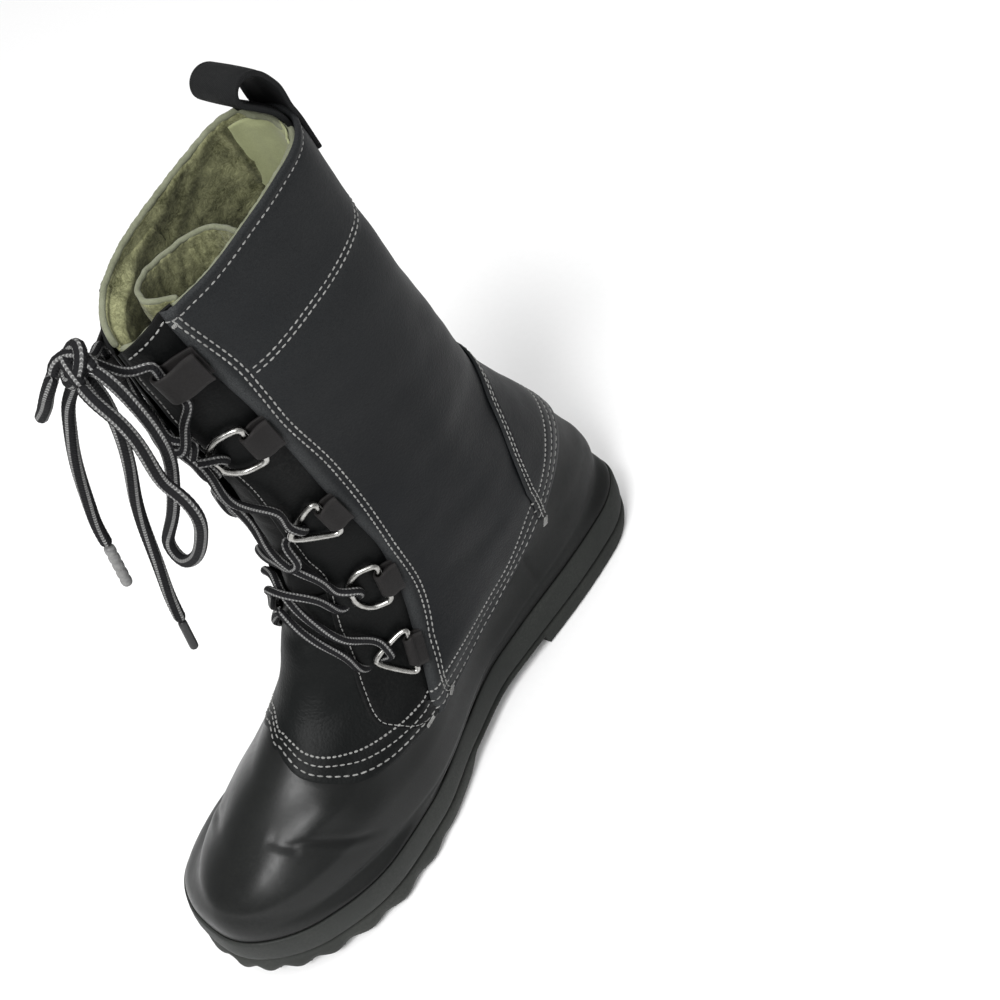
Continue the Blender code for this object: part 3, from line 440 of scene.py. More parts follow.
def swept_tube(path, radius, sides, closed=False, turns=0.0, relief=0.0, plaits=0, up=(0.0, 0.0, 1.0), ends=1.0):
    """A tube along a path, laid on a grid primitive; the UV map holds millimetres along and turns around."""
    p = np.array(path, float)
    n = len(p)
    if closed:
        p = np.concatenate([p, p[:1]])
        n += 1
    run = np.gradient(p, axis=0)
    if closed:
        run[0] = run[-1] = p[1] - p[-2]
    run = unit(run)
    side = np.array(up, float)
    sides_at = []
    for i in range(n):
        side = unit(side - run[i] * np.dot(side, run[i]))
        sides_at.append(side)
    sides_at = np.array(sides_at)
    third = np.cross(run, sides_at)
    # how far the cross-section has turned when a closed tube comes back to its start
    slip = math.atan2(np.dot(sides_at[-1], third[0]), np.dot(sides_at[-1], sides_at[0])) if closed else 0.0
    far = run_so_far(p)
    angle = np.linspace(0, 2 * np.pi, sides + 1)[None, :]
    spin = ((2 * np.pi * turns - slip) * far / far[-1])[:, None]
    size = np.full((n, 1), float(radius))
    if not closed and ends < 1.0:
        near = np.minimum(far, far[-1] - far)[:, None]
        size = size * (ends + (1 - ends) * np.sqrt(np.clip(1 - (1 - np.clip(near / radius, 0, 1)) ** 2, 0, 1)))
    if relief:
        slant = 2 * np.pi * far[:, None] / (1.9 * radius)
        size = size + relief * np.sin(plaits * angle + slant) * np.sin(plaits * angle - slant)
    a = (angle + spin)[..., None]
    points = p[:, None] + size[..., None] * (np.cos(a) * sides_at[:, None] + np.sin(a) * third[:, None])
    pattern = np.stack(np.broadcast_arrays(angle / (2 * np.pi), far[:, None]), axis=-1)
    return draped_tube(points, pattern, closed)


def draped_tube(points, pattern, closed=False):
    """A tube laid on rings of points, its seam welded; both ends are filled unless it closes on itself."""
    thing = laid_grid(points, pattern)
    with reworked(thing) as work:
        bmesh.ops.remove_doubles(work, verts=work.verts, dist=0.000002)
        if not closed:
            bmesh.ops.holes_fill(work, edges=[e for e in work.edges if e.is_boundary], sides=0)
        bmesh.ops.recalc_face_normals(work, faces=work.faces)
    thing.data.shade_smooth()
    return thing

# ---- free lace ends, before anything else is made
LACE = 2.3                    # lace radius
LOOP_LONG = ((9, -66.5, 282), (16, -68, 279), (22, -68, 274), (26, -68, 266), (28.5, -69, 256),
             (31, -69.5, 249), (36, -69.5, 245.5), (39, -69.5, 240), (38, -69.5, 233), (34, -69.5, 225),
             (27, -69.5, 214), (19.5, -69.5, 205), (13.5, -69.5, 199.8), (8.6, -69.3, 197.2), (4.4, -68.7, 197.6),
             (2.0, -67.8, 200.8), (4, -66.5, 207), (10, -64.5, 217), (17, -62.5, 231), (22.5, -61, 244),
             (26, -60.5, 256), (25.5, -60.5, 266), (22, -60.5, 275), (16.5, -60.5, 282), (11, -60.5, 284.5))
LOOP_SHORT = ((-4.5, -58.5, 284), (-10, -58.5, 280.5), (-18, -59.5, 273.5), (-27, -61, 263.5),
              (-33.5, -62.5, 255.5), (-34.5, -65, 252), (-30, -68, 254.5), (-22, -69.5, 261.5),
              (-14, -70, 269.5), (-8, -70, 276.5), (-3.5, -67.5, 283))
TAIL_LATERAL = ((-0.5, -61.5, 280), (-6.5, -62.3, 272.5), (-12, -64.2, 265), (-17, -66.5, 254),
                (-21.5, -69, 241), (-25, -71, 228), (-29, -72.5, 213), (-30.5, -74, 202), (-30, -75, 192.5))
TAIL_MEDIAL = ((5, -61.5, 280.3), (4.5, -60.5, 273), (2, -59.3, 265), (1, -59.8, 256), (0.5, -61.5, 246),
               (-1.5, -63.5, 235), (-5.5, -65.5, 222), (-8.5, -67.5, 208), (-9.5, -69.5, 195),
               (-10.5, -71.5, 182), (-11.5, -73.5, 169), (-11.5, -75, 156.5))
AGLET_LATERAL = ((-30, -75.2, 191.9), (-29.5, -77.5, 172))
AGLET_MEDIAL = ((-11.5, -75.2, 155.8), (-9.5, -77.5, 142.5))
KNOT_CENTRE = np.array((3.0, -61.5, 286.0))
FREE_ENDS = (
    # name, route, turns of the braid along it, where it ends
    ("lace_loop_long", LOOP_LONG, 0.5, "knot"),
    ("lace_loop_short", LOOP_SHORT, 0.25, "knot"),
    ("lace_tail_lateral", TAIL_LATERAL, 0.25, "fitting"),
    ("lace_tail_medial", TAIL_MEDIAL, 0.4, "fitting"),
)


def braided(path, radius, sides, up, **more):
    return swept_tube(path, radius, sides, plaits=4, up=up, **more)


def free_end(route, turns):
    path = evenly(route, int(run_length(evenly(route, 200)) / 0.55))
    return braided(path, LACE, 24, (0.0, 1.0, 0.0), turns=turns, relief=0.10, ends=0.5), path


free_laces = {name: free_end(route, turns) for name, route, turns, _ in FREE_ENDS}

# ---- finishes
def feed(tree, node, **inputs):
    """Sets a node's inputs, by name or place, to constants or to the sockets that feed them."""
    for key, value in inputs.items():
        socket = node.inputs[int(key[1:])] if key[0] == "_" else node.inputs[key.replace("_", " ")]
        if isinstance(value, bpy.types.NodeSocket):
            tree.links.new(value, socket)
        else:
            socket.default_value = value
    return node


def put(tree, kind, settings=None, **inputs):
    node = tree.nodes.new(kind)
    for key, value in (settings or {}).items():
        setattr(node, key, value)
    return feed(tree, node, **inputs)


def noise(tree, place, scale, detail, output="Fac", **more):
    return put(tree, "ShaderNodeTexNoise", None, Vector=place, Scale=scale, Detail=detail, **more).outputs[output]


def wandering(tree, place, scale, reach):
    """The place pushed about by soft noise, so that a pattern on it loses its straight lines."""
    drift = noise(tree, place, scale, 2.0, "Color")
    shift = put(tree, "ShaderNodeVectorMath", {"operation": "SCALE"}, _0=drift, Scale=reach)
    return put(tree, "ShaderNodeVectorMath", {"operation": "ADD"}, _0=place, _1=shift.outputs[0]).outputs[0]


def wear_and_shade_on(tree):
    """The piece's own wear and painted shade, 0 to 1: rubbed wear on leather, painted shade on rubber and felt."""
    return put(tree, "ShaderNodeAttribute", {"attribute_name": "wear_and_shade"}).outputs["Fac"]


def maths(tree, operation, a, b=0.0, c=0.0, clamp=False):
    return put(tree, "ShaderNodeMath", {"operation": operation, "use_clamp": clamp}, _0=a, _1=b, _2=c).outputs[0]


def times(tree, a, b, **more):
    return maths(tree, "MULTIPLY", a, b, **more)


def times_plus(tree, a, b, c, **more):
    return maths(tree, "MULTIPLY_ADD", a, b, c, **more)


def span(tree, value, low, high, to_low=0.0, to_high=1.0):
    return put(tree, "ShaderNodeMapRange", {"clamp": True}, Value=value, From_Min=low, From_Max=high, To_Min=to_low,
               To_Max=to_high).outputs[0]


def blend_colours(tree, share, first, second):
    """Mixes two colours, each a socket or its red, green and blue."""
    first, second = ((*c, 1.0) if isinstance(c, tuple) else c for c in (first, second))
    return put(tree, "ShaderNodeMix", {"data_type": "RGBA"}, Factor=share, _6=first, _7=second).outputs[2]


def effect(name, inputs, outputs):
    """A node group with its input and output nodes: inputs are places, or numbers when they have a value."""
    tree = bpy.data.node_groups.new(name, "ShaderNodeTree")
    for label, value in inputs.items():
        kind = "NodeSocketVector" if value is None else "NodeSocketFloat"
        socket = tree.interface.new_socket(name=label, in_out="INPUT", socket_type=kind)
        if value is not None:
            socket.default_value = value
    for label in outputs:
        tree.interface.new_socket(name=label, in_out="OUTPUT", socket_type="NodeSocketFloat")
    return tree, tree.nodes.new("NodeGroupInput"), tree.nodes.new("NodeGroupOutput")


def grain_effect():
    """Leather grain: small pebbles, finer pores and broad uneven gloss."""
    tree, entry, out = effect("leather grain", {"Place": None, "Pebbles per metre": 900.0, "Stretch": 0.35},
                              ("Height", "Uneven", "Pores"))
    place = wandering(tree, entry.outputs["Place"], 120.0, 0.004)
    pebble = put(tree, "ShaderNodeTexVoronoi", {"feature": "SMOOTH_F1"}, Vector=place,
                 Scale=entry.outputs["Pebbles per metre"], Smoothness=0.35)
    pore = noise(tree, place, 2600.0, 3.0, Roughness=0.6)
    broad = noise(tree, entry.outputs["Place"], 34.0, 4.0, Roughness=0.55)
    fold = noise(tree, place, 210.0, 3.0, Roughness=0.6)
    height = times_plus(tree, pebble.outputs["Distance"], -0.55, 0.7)
    height = times_plus(tree, pore, 0.35, height)
    height = times_plus(tree, fold, entry.outputs["Stretch"], height)
    feed(tree, out, Height=height, Uneven=broad, Pores=pore)
    return tree


def dust_effect():
    """Fine pale dust in a broken pattern of specks and clouds."""
    tree, entry, out = effect("fine dust", {"Place": None, "Amount": 0.3}, ("Mask",))
    speck = noise(tree, entry.outputs["Place"], 900.0, 4.0, Roughness=0.7)
    cloud = noise(tree, entry.outputs["Place"], 28.0, 3.0)
    both = times(tree, span(tree, speck, 0.42, 0.78), span(tree, cloud, 0.38, 0.68))
    feed(tree, out, Mask=times(tree, both, entry.outputs["Amount"]))
    return tree


def pile_effect():
    """Brushed pile: clumped tufts over a mottled ground."""
    tree, entry, out = effect("brushed pile", {"Place": None, "Tufts per metre": 700.0}, ("Height", "Mottle", "Tufts"))
    place = wandering(tree, entry.outputs["Place"], 160.0, 0.007)
    tuft = noise(tree, place, entry.outputs["Tufts per metre"], 4.0, Roughness=0.7, Distortion=0.6)
    clump = noise(tree, place, 170.0, 3.0, Roughness=0.6)
    broad = noise(tree, entry.outputs["Place"], 55.0, 3.0)
    mottle = times_plus(tree, clump, 0.6, times(tree, broad, 0.4))
    height = times_plus(tree, tuft, 0.6, times(tree, clump, 0.7))
    feed(tree, out, Height=height, Mottle=mottle, Tufts=tuft)
    return tree


def weave_effect():
    """Twill cloth on a map in millimetres: threads across and along, one over the other."""
    tree, entry, out = effect("twill weave", {"Map": None, "Threads per mm": 1.6}, ("Height", "Threads"))
    parts = put(tree, "ShaderNodeSeparateXYZ", None, Vector=entry.outputs["Map"])
    x = times(tree, parts.outputs["X"], entry.outputs["Threads per mm"])
    y = times(tree, parts.outputs["Y"], entry.outputs["Threads per mm"])
    warp = maths(tree, "SINE", times(tree, maths(tree, "ADD", x, y), math.pi))
    weft = maths(tree, "ABSOLUTE", maths(tree, "SINE", times(tree, x, math.pi)))
    height = times_plus(tree, warp, 0.5, times(tree, weft, 0.5))
    feed(tree, out, Height=height, Threads=span(tree, warp, -0.4, 0.9))
    return tree


GRAIN = grain_effect()
DUST = dust_effect()
PILE = pile_effect()
WEAVE = weave_effect()


def use(tree, group, **inputs):
    return put(tree, "ShaderNodeGroup", {"node_tree": group}, **inputs)


def blank(name):
    """A material with its shader and the object's own place."""
    material = bpy.data.materials.new(name)
    material.use_nodes = True
    tree = material.node_tree
    shader = tree.nodes["Principled BSDF"]
    place = tree.nodes.new("ShaderNodeTexCoord").outputs["Object"]
    return material, tree, shader, place


def surface(tree, shader, height, depth, **looks):
    """Sets the shader's looks and gives it relief; its depth is in millimetres."""
    bump = put(tree, "ShaderNodeBump", None, Strength=1.0, Distance=depth * MM, Height=height)
    feed(tree, shader, Normal=bump.outputs["Normal"], **looks)


def leather(name, colour, worn, roughness, gloss=0.25, pebbles=950.0, depth=0.16, dusty=0.25):
    """Oiled leather: grain, uneven gloss, a little dust, and paler rubbed places where the piece's wear-and-shade
    attribute says so.
    """
    material, tree, shader, place = blank(name)
    grain = use(tree, GRAIN, Place=place, Pebbles_per_metre=pebbles)
    dust = use(tree, DUST, Place=place, Amount=dusty).outputs["Mask"]
    uneven = span(tree, grain.outputs["Uneven"], 0.3, 0.7)
    rubbed = times(tree, wear_and_shade_on(tree), span(tree, grain.outputs["Pores"], 0.25, 0.6), clamp=True)
    tone = blend_colours(tree, uneven, tuple(c * 0.72 for c in colour), colour)
    tone = blend_colours(tree, rubbed, tone, worn)
    tone = blend_colours(tree, dust, tone, (0.055, 0.055, 0.052))
    rough = span(tree, grain.outputs["Uneven"], 0.25, 0.75, roughness - 0.07, roughness + 0.08)
    surface(tree, shader, grain.outputs["Height"], depth, Base_Color=tone, Specular_IOR_Level=gloss,
            Roughness=times_plus(tree, rubbed, 0.08, rough))
    return material


def rubber(name, colour, pale, roughness, gloss=0.35, depth=0.05, dusty=0.4):
    """Moulded rubber: very fine tooth, soft bloom, a little pale dust, painted shade where the piece's wear-and-shade
    attribute says so, and a duller heel.
    """
    material, tree, shader, place = blank(name)
    tooth = noise(tree, place, 2400.0, 3.0, Roughness=0.6)
    bloom = noise(tree, place, 24.0, 5.0, Roughness=0.6)
    scuff = noise(tree, place, 380.0, 5.0, Roughness=0.7)
    dust = use(tree, DUST, Place=place, Amount=dusty).outputs["Mask"]
    tone = blend_colours(tree, span(tree, bloom, 0.35, 0.7), colour, pale)
    tone = blend_colours(tree, times(tree, dust, 0.8), tone, (0.075, 0.075, 0.070))
    # painted shade: the attribute darkens the rubber to near black
    tone = blend_colours(tree, times(tree, wear_and_shade_on(tree), 0.7, clamp=True), tone, (0.004, 0.004, 0.004))
    rough = span(tree, bloom, 0.3, 0.7, roughness - 0.04, roughness + 0.06)
    rough = times_plus(tree, span(tree, scuff, 0.5, 0.75), 0.07, rough)
    heel = span(tree, put(tree, "ShaderNodeSeparateXYZ", None, Vector=place).outputs["Y"], -0.07, 0.05)
    height = times_plus(tree, scuff, 0.5, tooth)
    surface(tree, shader, height, depth, Base_Color=tone, Roughness=times_plus(tree, heel, 0.2, rough),
            Specular_IOR_Level=times_plus(tree, heel, -0.55 * gloss, gloss))
    return material


def fleece(name, dark, pale, contrast=(0.42, 0.62), depth=0.9, tufts=620.0):
    """Pile lining: tufts stand out pale, the ground between them is dark."""
    material, tree, shader, place = blank(name)
    pile = use(tree, PILE, Place=place, Tufts_per_metre=tufts)
    share = times_plus(tree, span(tree, pile.outputs["Mottle"], contrast[0], contrast[1]), 0.7,
                  span(tree, pile.outputs["Tufts"], 0.4, 0.68, -0.1, 0.4), clamp=True)
    tone = blend_colours(tree, share, dark, pale)
    # painted shade: the wear-and-shade attribute darkens the pile in folds and deep inside the boot
    tone = blend_colours(tree, wear_and_shade_on(tree), tone, tuple(c * 0.3 for c in dark))
    surface(tree, shader, pile.outputs["Height"], depth, Base_Color=tone, Roughness=0.95, Specular_IOR_Level=0.1,
            Sheen_Weight=0.12, Sheen_Roughness=0.5)
    return material


def webbing(name, colour, pale, threads=1.7, depth=0.22):
    material, tree, shader, place = blank(name)
    cloth = put(tree, "ShaderNodeUVMap", {"uv_map": "cloth"}).outputs["UV"]
    weave = use(tree, WEAVE, Map=cloth, Threads_per_mm=threads)
    dust = use(tree, DUST, Place=place, Amount=0.25).outputs["Mask"]
    broad = noise(tree, place, 60.0, 4.0)
    tone = blend_colours(tree, weave.outputs["Threads"], colour, pale)
    tone = blend_colours(tree, dust, tone, (0.035, 0.035, 0.033))
    surface(tree, shader, weave.outputs["Height"], depth, Base_Color=tone, Specular_IOR_Level=0.12,
            Roughness=span(tree, broad, 0.3, 0.7, 0.62, 0.82))
    return material


def braid(name):
    """Round braided lace: two-thread stitches in pale bands over a black braid; the map is turns and millimetres."""
    material, tree, shader, place = blank(name)
    cloth = put(tree, "ShaderNodeUVMap", {"uv_map": "cloth"}).outputs["UV"]
    parts = put(tree, "ShaderNodeSeparateXYZ", None, Vector=cloth)
    turn, far = parts.outputs["X"], parts.outputs["Y"]
    quarter = maths(tree, "FRACT", times(tree, turn, 4.0))
    off = maths(tree, "ABSOLUTE", maths(tree, "SUBTRACT", quarter, 0.5))
    band = span(tree, off, 0.13, 0.19, 1.0, 0.0)
    slant = maths(tree, "ADD", times(tree, far, 0.8), times(tree, off, 2.0))
    tick = maths(tree, "ABSOLUTE", maths(tree, "SUBTRACT", maths(tree, "FRACT", slant), 0.5))
    hatch = span(tree, tick, 0.10, 0.22, 1.0, 0.0)
    hatch = times_plus(tree, hatch, 0.62, 0.30)
    fuzz = noise(tree, place, 1800.0, 3.0, Roughness=0.7)
    pale = times(tree, times(tree, band, hatch), span(tree, fuzz, 0.25, 0.55, 0.65, 1.0), clamp=True)
    tone = blend_colours(tree, pale, (0.009, 0.009, 0.010), (0.33, 0.33, 0.325))
    plait = maths(tree, "SINE", times_plus(tree, far, 4.52, times(tree, off, 10.0)))
    height = times_plus(tree, plait, 0.5, times(tree, fuzz, 0.4))
    surface(tree, shader, height, 0.22, Base_Color=tone, Roughness=0.8, Specular_IOR_Level=0.12)
    return material


def thread(name, colour):
    material, tree, shader, place = blank(name)
    ply = put(tree, "ShaderNodeTexWave", {"wave_type": "BANDS", "bands_direction": "DIAGONAL"}, Vector=place,
              Scale=620.0, Distortion=1.0).outputs["Fac"]
    grey = noise(tree, place, 240.0, 3.0)
    darker = tuple(c * 0.45 for c in colour)
    share = times_plus(tree, ply, 0.35, span(tree, grey, 0.3, 0.62, 0.15, 0.7), clamp=True)
    surface(tree, shader, ply, 0.12, Base_Color=blend_colours(tree, share, darker, colour),
            Roughness=span(tree, grey, 0.3, 0.7, 0.7, 0.9), Specular_IOR_Level=0.25)
    return material


def steel(name):
    material, tree, shader, place = blank(name)
    haze = noise(tree, place, 420.0, 5.0, Roughness=0.65)
    pit = noise(tree, place, 1900.0, 3.0)
    tone = blend_colours(tree, span(tree, haze, 0.35, 0.7), (0.26, 0.255, 0.24), (0.46, 0.455, 0.44))
    tone = blend_colours(tree, span(tree, pit, 0.66, 0.78, 0.0, 0.7), tone, (0.16, 0.14, 0.12))
    surface(tree, shader, haze, 0.02, Base_Color=tone, Metallic=1.0,
            Roughness=span(tree, haze, 0.3, 0.7, 0.17, 0.34))
    return material


def plastic_tip(name, colour, pale, roughness):
    """Wrapped lace tip with a faint seam of grain along it."""
    material, tree, shader, place = blank(name)
    smear = noise(tree, place, 500.0, 4.0, Roughness=0.6)
    tone = blend_colours(tree, span(tree, smear, 0.35, 0.65), colour, pale)
    surface(tree, shader, smear, 0.05, Base_Color=tone,
            Roughness=span(tree, smear, 0.3, 0.7, roughness - 0.08, roughness + 0.1))
    return material


SHAFT = leather("shaft leather", (0.0070, 0.0079, 0.0091), (0.038, 0.040, 0.041), 0.50, gloss=0.10, dusty=0.15)
FACING = leather("facing leather", (0.0034, 0.0038, 0.0039), (0.016, 0.016, 0.016), 0.50, gloss=0.08, dusty=0.15)
VAMP = leather("vamp leather", (0.0038, 0.0045, 0.0045), (0.020, 0.022, 0.022), 0.46, gloss=0.11, pebbles=800.0,
               dusty=0.12)
TONGUE_HIDE = leather("tongue leather", (0.006, 0.0063, 0.0065), (0.015, 0.015, 0.015), 0.60, gloss=0.10, dusty=0.1)
TAB_HIDE = leather("tab leather", (0.0135, 0.0125, 0.0125), (0.034, 0.032, 0.031), 0.58, gloss=0.12, depth=0.12,
                   dusty=0.15)
SHELL = rubber("shell rubber", (0.0056, 0.0061, 0.0060), (0.0082, 0.0089, 0.0086), 0.31, gloss=0.23, dusty=0.10)
MIDSOLE = rubber("midsole rubber", (0.020, 0.0215, 0.0205), (0.027, 0.029, 0.027), 0.50, gloss=0.14, dusty=0.4)
OUTSOLE = rubber("outsole rubber", (0.024, 0.0255, 0.024), (0.034, 0.036, 0.033), 0.58, gloss=0.15, dusty=0.5)
LINING = fleece("lining fleece", (0.055, 0.057, 0.024), (0.350, 0.355, 0.195), contrast=(0.34, 0.70), depth=0.5,
                tufts=900.0)
RIM_FELT = fleece("rim felt", (0.150, 0.158, 0.105), (0.215, 0.225, 0.160), depth=0.35, tufts=1500.0)
PATCH_FELT = fleece("patch felt", (0.260, 0.275, 0.150), (0.330, 0.350, 0.195), contrast=(0.3, 0.7), depth=0.15,
                    tufts=1500.0)
INSOLE_FELT = fleece("insole felt", (0.085, 0.088, 0.045), (0.200, 0.210, 0.120), depth=0.4, tufts=900.0)
STRAP = webbing("strap webbing", (0.0065, 0.0068, 0.0072), (0.0100, 0.0105, 0.0110), threads=2.6, depth=0.05)
LACE_BRAID = braid("lace braid")
THREAD = thread("stitch thread", (0.31, 0.31, 0.30))
STEEL = steel("ring steel")
TIP_GREY = plastic_tip("grey lace tip", (0.13, 0.13, 0.13), (0.20, 0.20, 0.195), 0.5)
TIP_DARK = plastic_tip("dark lace tip", (0.006, 0.006, 0.0065), (0.014, 0.014, 0.014), 0.42)

# ---- sole: outsole, midsole, insole
def foot_block(count, side_profile, across=9):
    """A solid of cross-sections from toe to heel: the outer profile on each side, then the flats between them.

    side_profile(u) gives rows of (inset, height) from the top's inner edge down to the underside's edge.
    """
    u = np.linspace(0.0, 1.0, count)
    medial = side_profile(u)
    lateral = side_profile(-u)
    share = np.linspace(0, 1, across + 2)[1:-1][None, :, None]
    low = lateral[:, -1:, :] * (1 - share) + medial[:, -1:, :] * share
    high = medial[:, :1, :] * (1 - share) + lateral[:, :1, :] * share
    loop = np.concatenate([lateral, low, medial[:, ::-1], high, lateral[:, :1]], axis=1)
    far = run_so_far(loop[count // 2])
    pattern = np.stack(np.broadcast_arrays(far[None, :], (u * 320.0)[:, None]), axis=-1)
    return draped_tube(loop, pattern)


def side_rows(u, *rows):
    """Rows of (inset, height) made points round the sole."""
    return np.stack([raised(outline_point(u, inset), height) for inset, height in rows], axis=1)


LUG_TURN = 0.385 / 7          # girth from one lug of the tread to the next


def scallop(u, sharp=1.0):
    """How far the edge stands out: full at a lug, none between two, fading out at the arch."""
    wave = (0.5 - 0.5 * np.cos(2 * np.pi * np.abs(u) / LUG_TURN)) ** sharp
    return wave * ease((0.40 - np.abs(u)) / 0.03) * ease(np.abs(u) / 0.02)


def outsole_sides(u):
    y = outline_point(u, 0.0)[:, 1]
    top = outsole_top(y)
    heel = ease((y - HEEL_BREAST + 1.5) / 2.5)
    arch = ease((y + 24.0) / 14.0)
    under = np.where(y > 20, (8.5 - 8.5 * heel), 1.9 + toe_spring(y) * (1 - arch) + 6.6 * arch)
    under = under + 1.1 * (1 - scallop(u)) * ease((0.40 - np.abs(u)) / 0.03)
    wave = scallop(u, 0.8) * 1.3
    deep = top - under
    return side_rows(u, (3.6, top - 0.2), (2.0, top - 0.2), (0.8, top - 0.5), (-0.1, top - 1.1), (-0.45, top - 1.9),
                     (-0.5 - 0.2 * wave, top - 0.3 * deep), (-0.5 - 0.6 * wave, top - 0.45 * deep),
                     (-0.3 - 0.9 * wave, top - 0.6 * deep), (-wave, top - 0.75 * deep),
                     (0.4 - wave, under + 0.9), (0.9 - wave, under + 0.25), (1.6 - wave, under + 0.02), (3.0, under))


def tread_block(plan):
    """One tread block: a cube primitive whose corners are moved to the plan's four, then bevelled."""
    pick()
    bpy.ops.mesh.primitive_cube_add(size=1.0)
    thing = bpy.context.object
    for v in thing.data.vertices:
        x, y = plan[(3 if v.co.x < 0 else 2) if v.co.y > 0 else (0 if v.co.x < 0 else 1)]
        v.co = Vector((x, y, toe_spring(y) + (7.0 if v.co.z > 0 else 0.05))) * MM
    with reworked(thing) as work:
        bmesh.ops.recalc_face_normals(work, faces=work.faces)
    round_edges(thing, 0.5, degrees=40)
    return thing


def join(things):
    pick(*things)
    bpy.ops.object.join()
    return things[0]


def tread_blocks():
    made = []
    for side in (-1, 1):
        for k in range(7):
            u = side * LUG_TURN * (k + 0.5)
            half = LUG_TURN * 0.30
            at = u + half * np.array([-1, 1, 0.75, -0.75])
            plan = outline_point(at, np.array([1.4, 1.4, 13.0, 13.0]) + 0.35 * (np.abs(at) < 0.03))
            made.append(tread_block(plan))
    for y in (-118.0, -100.0, -82.0, -64.0, -46.0, -28.0):
        for x0, lean in ((-15.0, 1), (17.0, -1)):
            plan = [(x0 - 9, y - 4 + 2 * lean), (x0 + 9, y - 4 - 2 * lean), (x0 + 9, y + 4 - 2 * lean),
                    (x0 - 9, y + 4 + 2 * lean)]
            made.append(tread_block(plan))
    return made


def build_outsole():
    body = foot_block(560, outsole_sides)
    smooth_by_angle(body, 38)
    finish_piece(join([body] + tread_blocks()), "outsole_tread", OUTSOLE, "outsole_rubber", "outsole")


def midsole_sides(u):
    y = outline_point(u, 0.0)[:, 1]
    low = outsole_top(y) + 0.3
    top = band_top(y)
    tall = top - low
    return side_rows(u, (4.6, top - 1.0), (3.2, top - 1.0), (2.4, top - 0.9), (1.9, top - 0.2), (1.5, top),
                     (1.0, top - 0.2), (0.6, top - 0.8), (0.35, top - 1.9), (0.1, top - 3.0),
                     (-0.25, low + 0.62 * tall), (-0.5, low + 0.42 * tall), (-0.5, low + 0.3 * tall),
                     (-0.3, low + 2.5), (0.6, low + 1.9), (2.2, low + 1.1), (3.4, low + 0.7))


def build_midsole():
    body = foot_block(300, midsole_sides)
    smooth_by_angle(body, 50)
    finish_piece(body, "midsole_band", MIDSOLE, "midsole_rubber", "midsole")


def build_insole():
    def sides(u):
        floor = 19.6 + toe_spring(outline_point(u, 4.5)[:, 1])
        return side_rows(u, (11.5, floor + 4.4), (10.3, floor + 4.0), (9.7, floor + 3.2), (9.6, floor + 0.6),
                         (10.0, floor), (11.0, floor))

    finish_piece(foot_block(160, sides), "insole_felt", INSOLE_FELT, "insole_felt", "insole")


build_outsole()
build_midsole()
build_insole()


# ---- rubber shell
def from_line(points, line):
    """Distance of every point from a line of corners, the share run along it, and the way from it."""
    best = np.full(points.shape[:-1], 1e9)
    share = np.zeros(points.shape[:-1])
    away = np.zeros(points.shape)
    steps = np.linalg.norm(np.diff(line, axis=0), axis=1)
    before = added_up(steps)
    for i in range(len(line) - 1):
        run = line[i + 1] - line[i]
        t = np.clip(((points - line[i]) @ run) / (run @ run), 0, 1)
        gap = points - (line[i] + t[..., None] * run)
        d = np.linalg.norm(gap, axis=-1)
        near = d < best
        best = np.where(near, d, best)
        share = np.where(near, (before[i] + t * steps[i]) / before[-1], share)
        away = np.where(near[..., None], gap, away)
    return best, share, away


# the wear-and-shade attribute: rubbed wear on the leather pieces, painted shade on the rubber foot and the felts
def set_wear_and_shade(thing, values):
    layer = thing.data.attributes.new("wear_and_shade", "FLOAT", "POINT")
    layer.data.foreach_set("value", np.clip(values, 0, 1).reshape(-1).astype(np.float32))


CREASES = (
    # corners on the last (u, z), depth and width of the sharp line, depth and width of the soft trough
    (((0.07, 62.3), (0.105, 61.2), (0.145, 59.0), (0.19, 55.2)), 0.28, 1.5, 0.4, 5.0),
    (((0.10, 59.6), (0.15, 58.9), (0.20, 56.5), (0.245, 52.5), (0.296, 45.2), (0.335, 37.5)), 0.5, 1.5, 1.1, 8.0),
    (((-0.10, 57.5), (-0.16, 54.5), (-0.23, 48.0), (-0.31, 40.0)), 0.6, 1.6, 0.7, 9.0),
    (((0.619, 66.0), (0.630, 54.0), (0.647, 36.0)), 0.55, 1.5, 0.3, 6.0),
    (((-0.62, 64.0), (-0.635, 50.0), (-0.647, 38.0)), 0.45, 1.6, 0.3, 6.0),
)


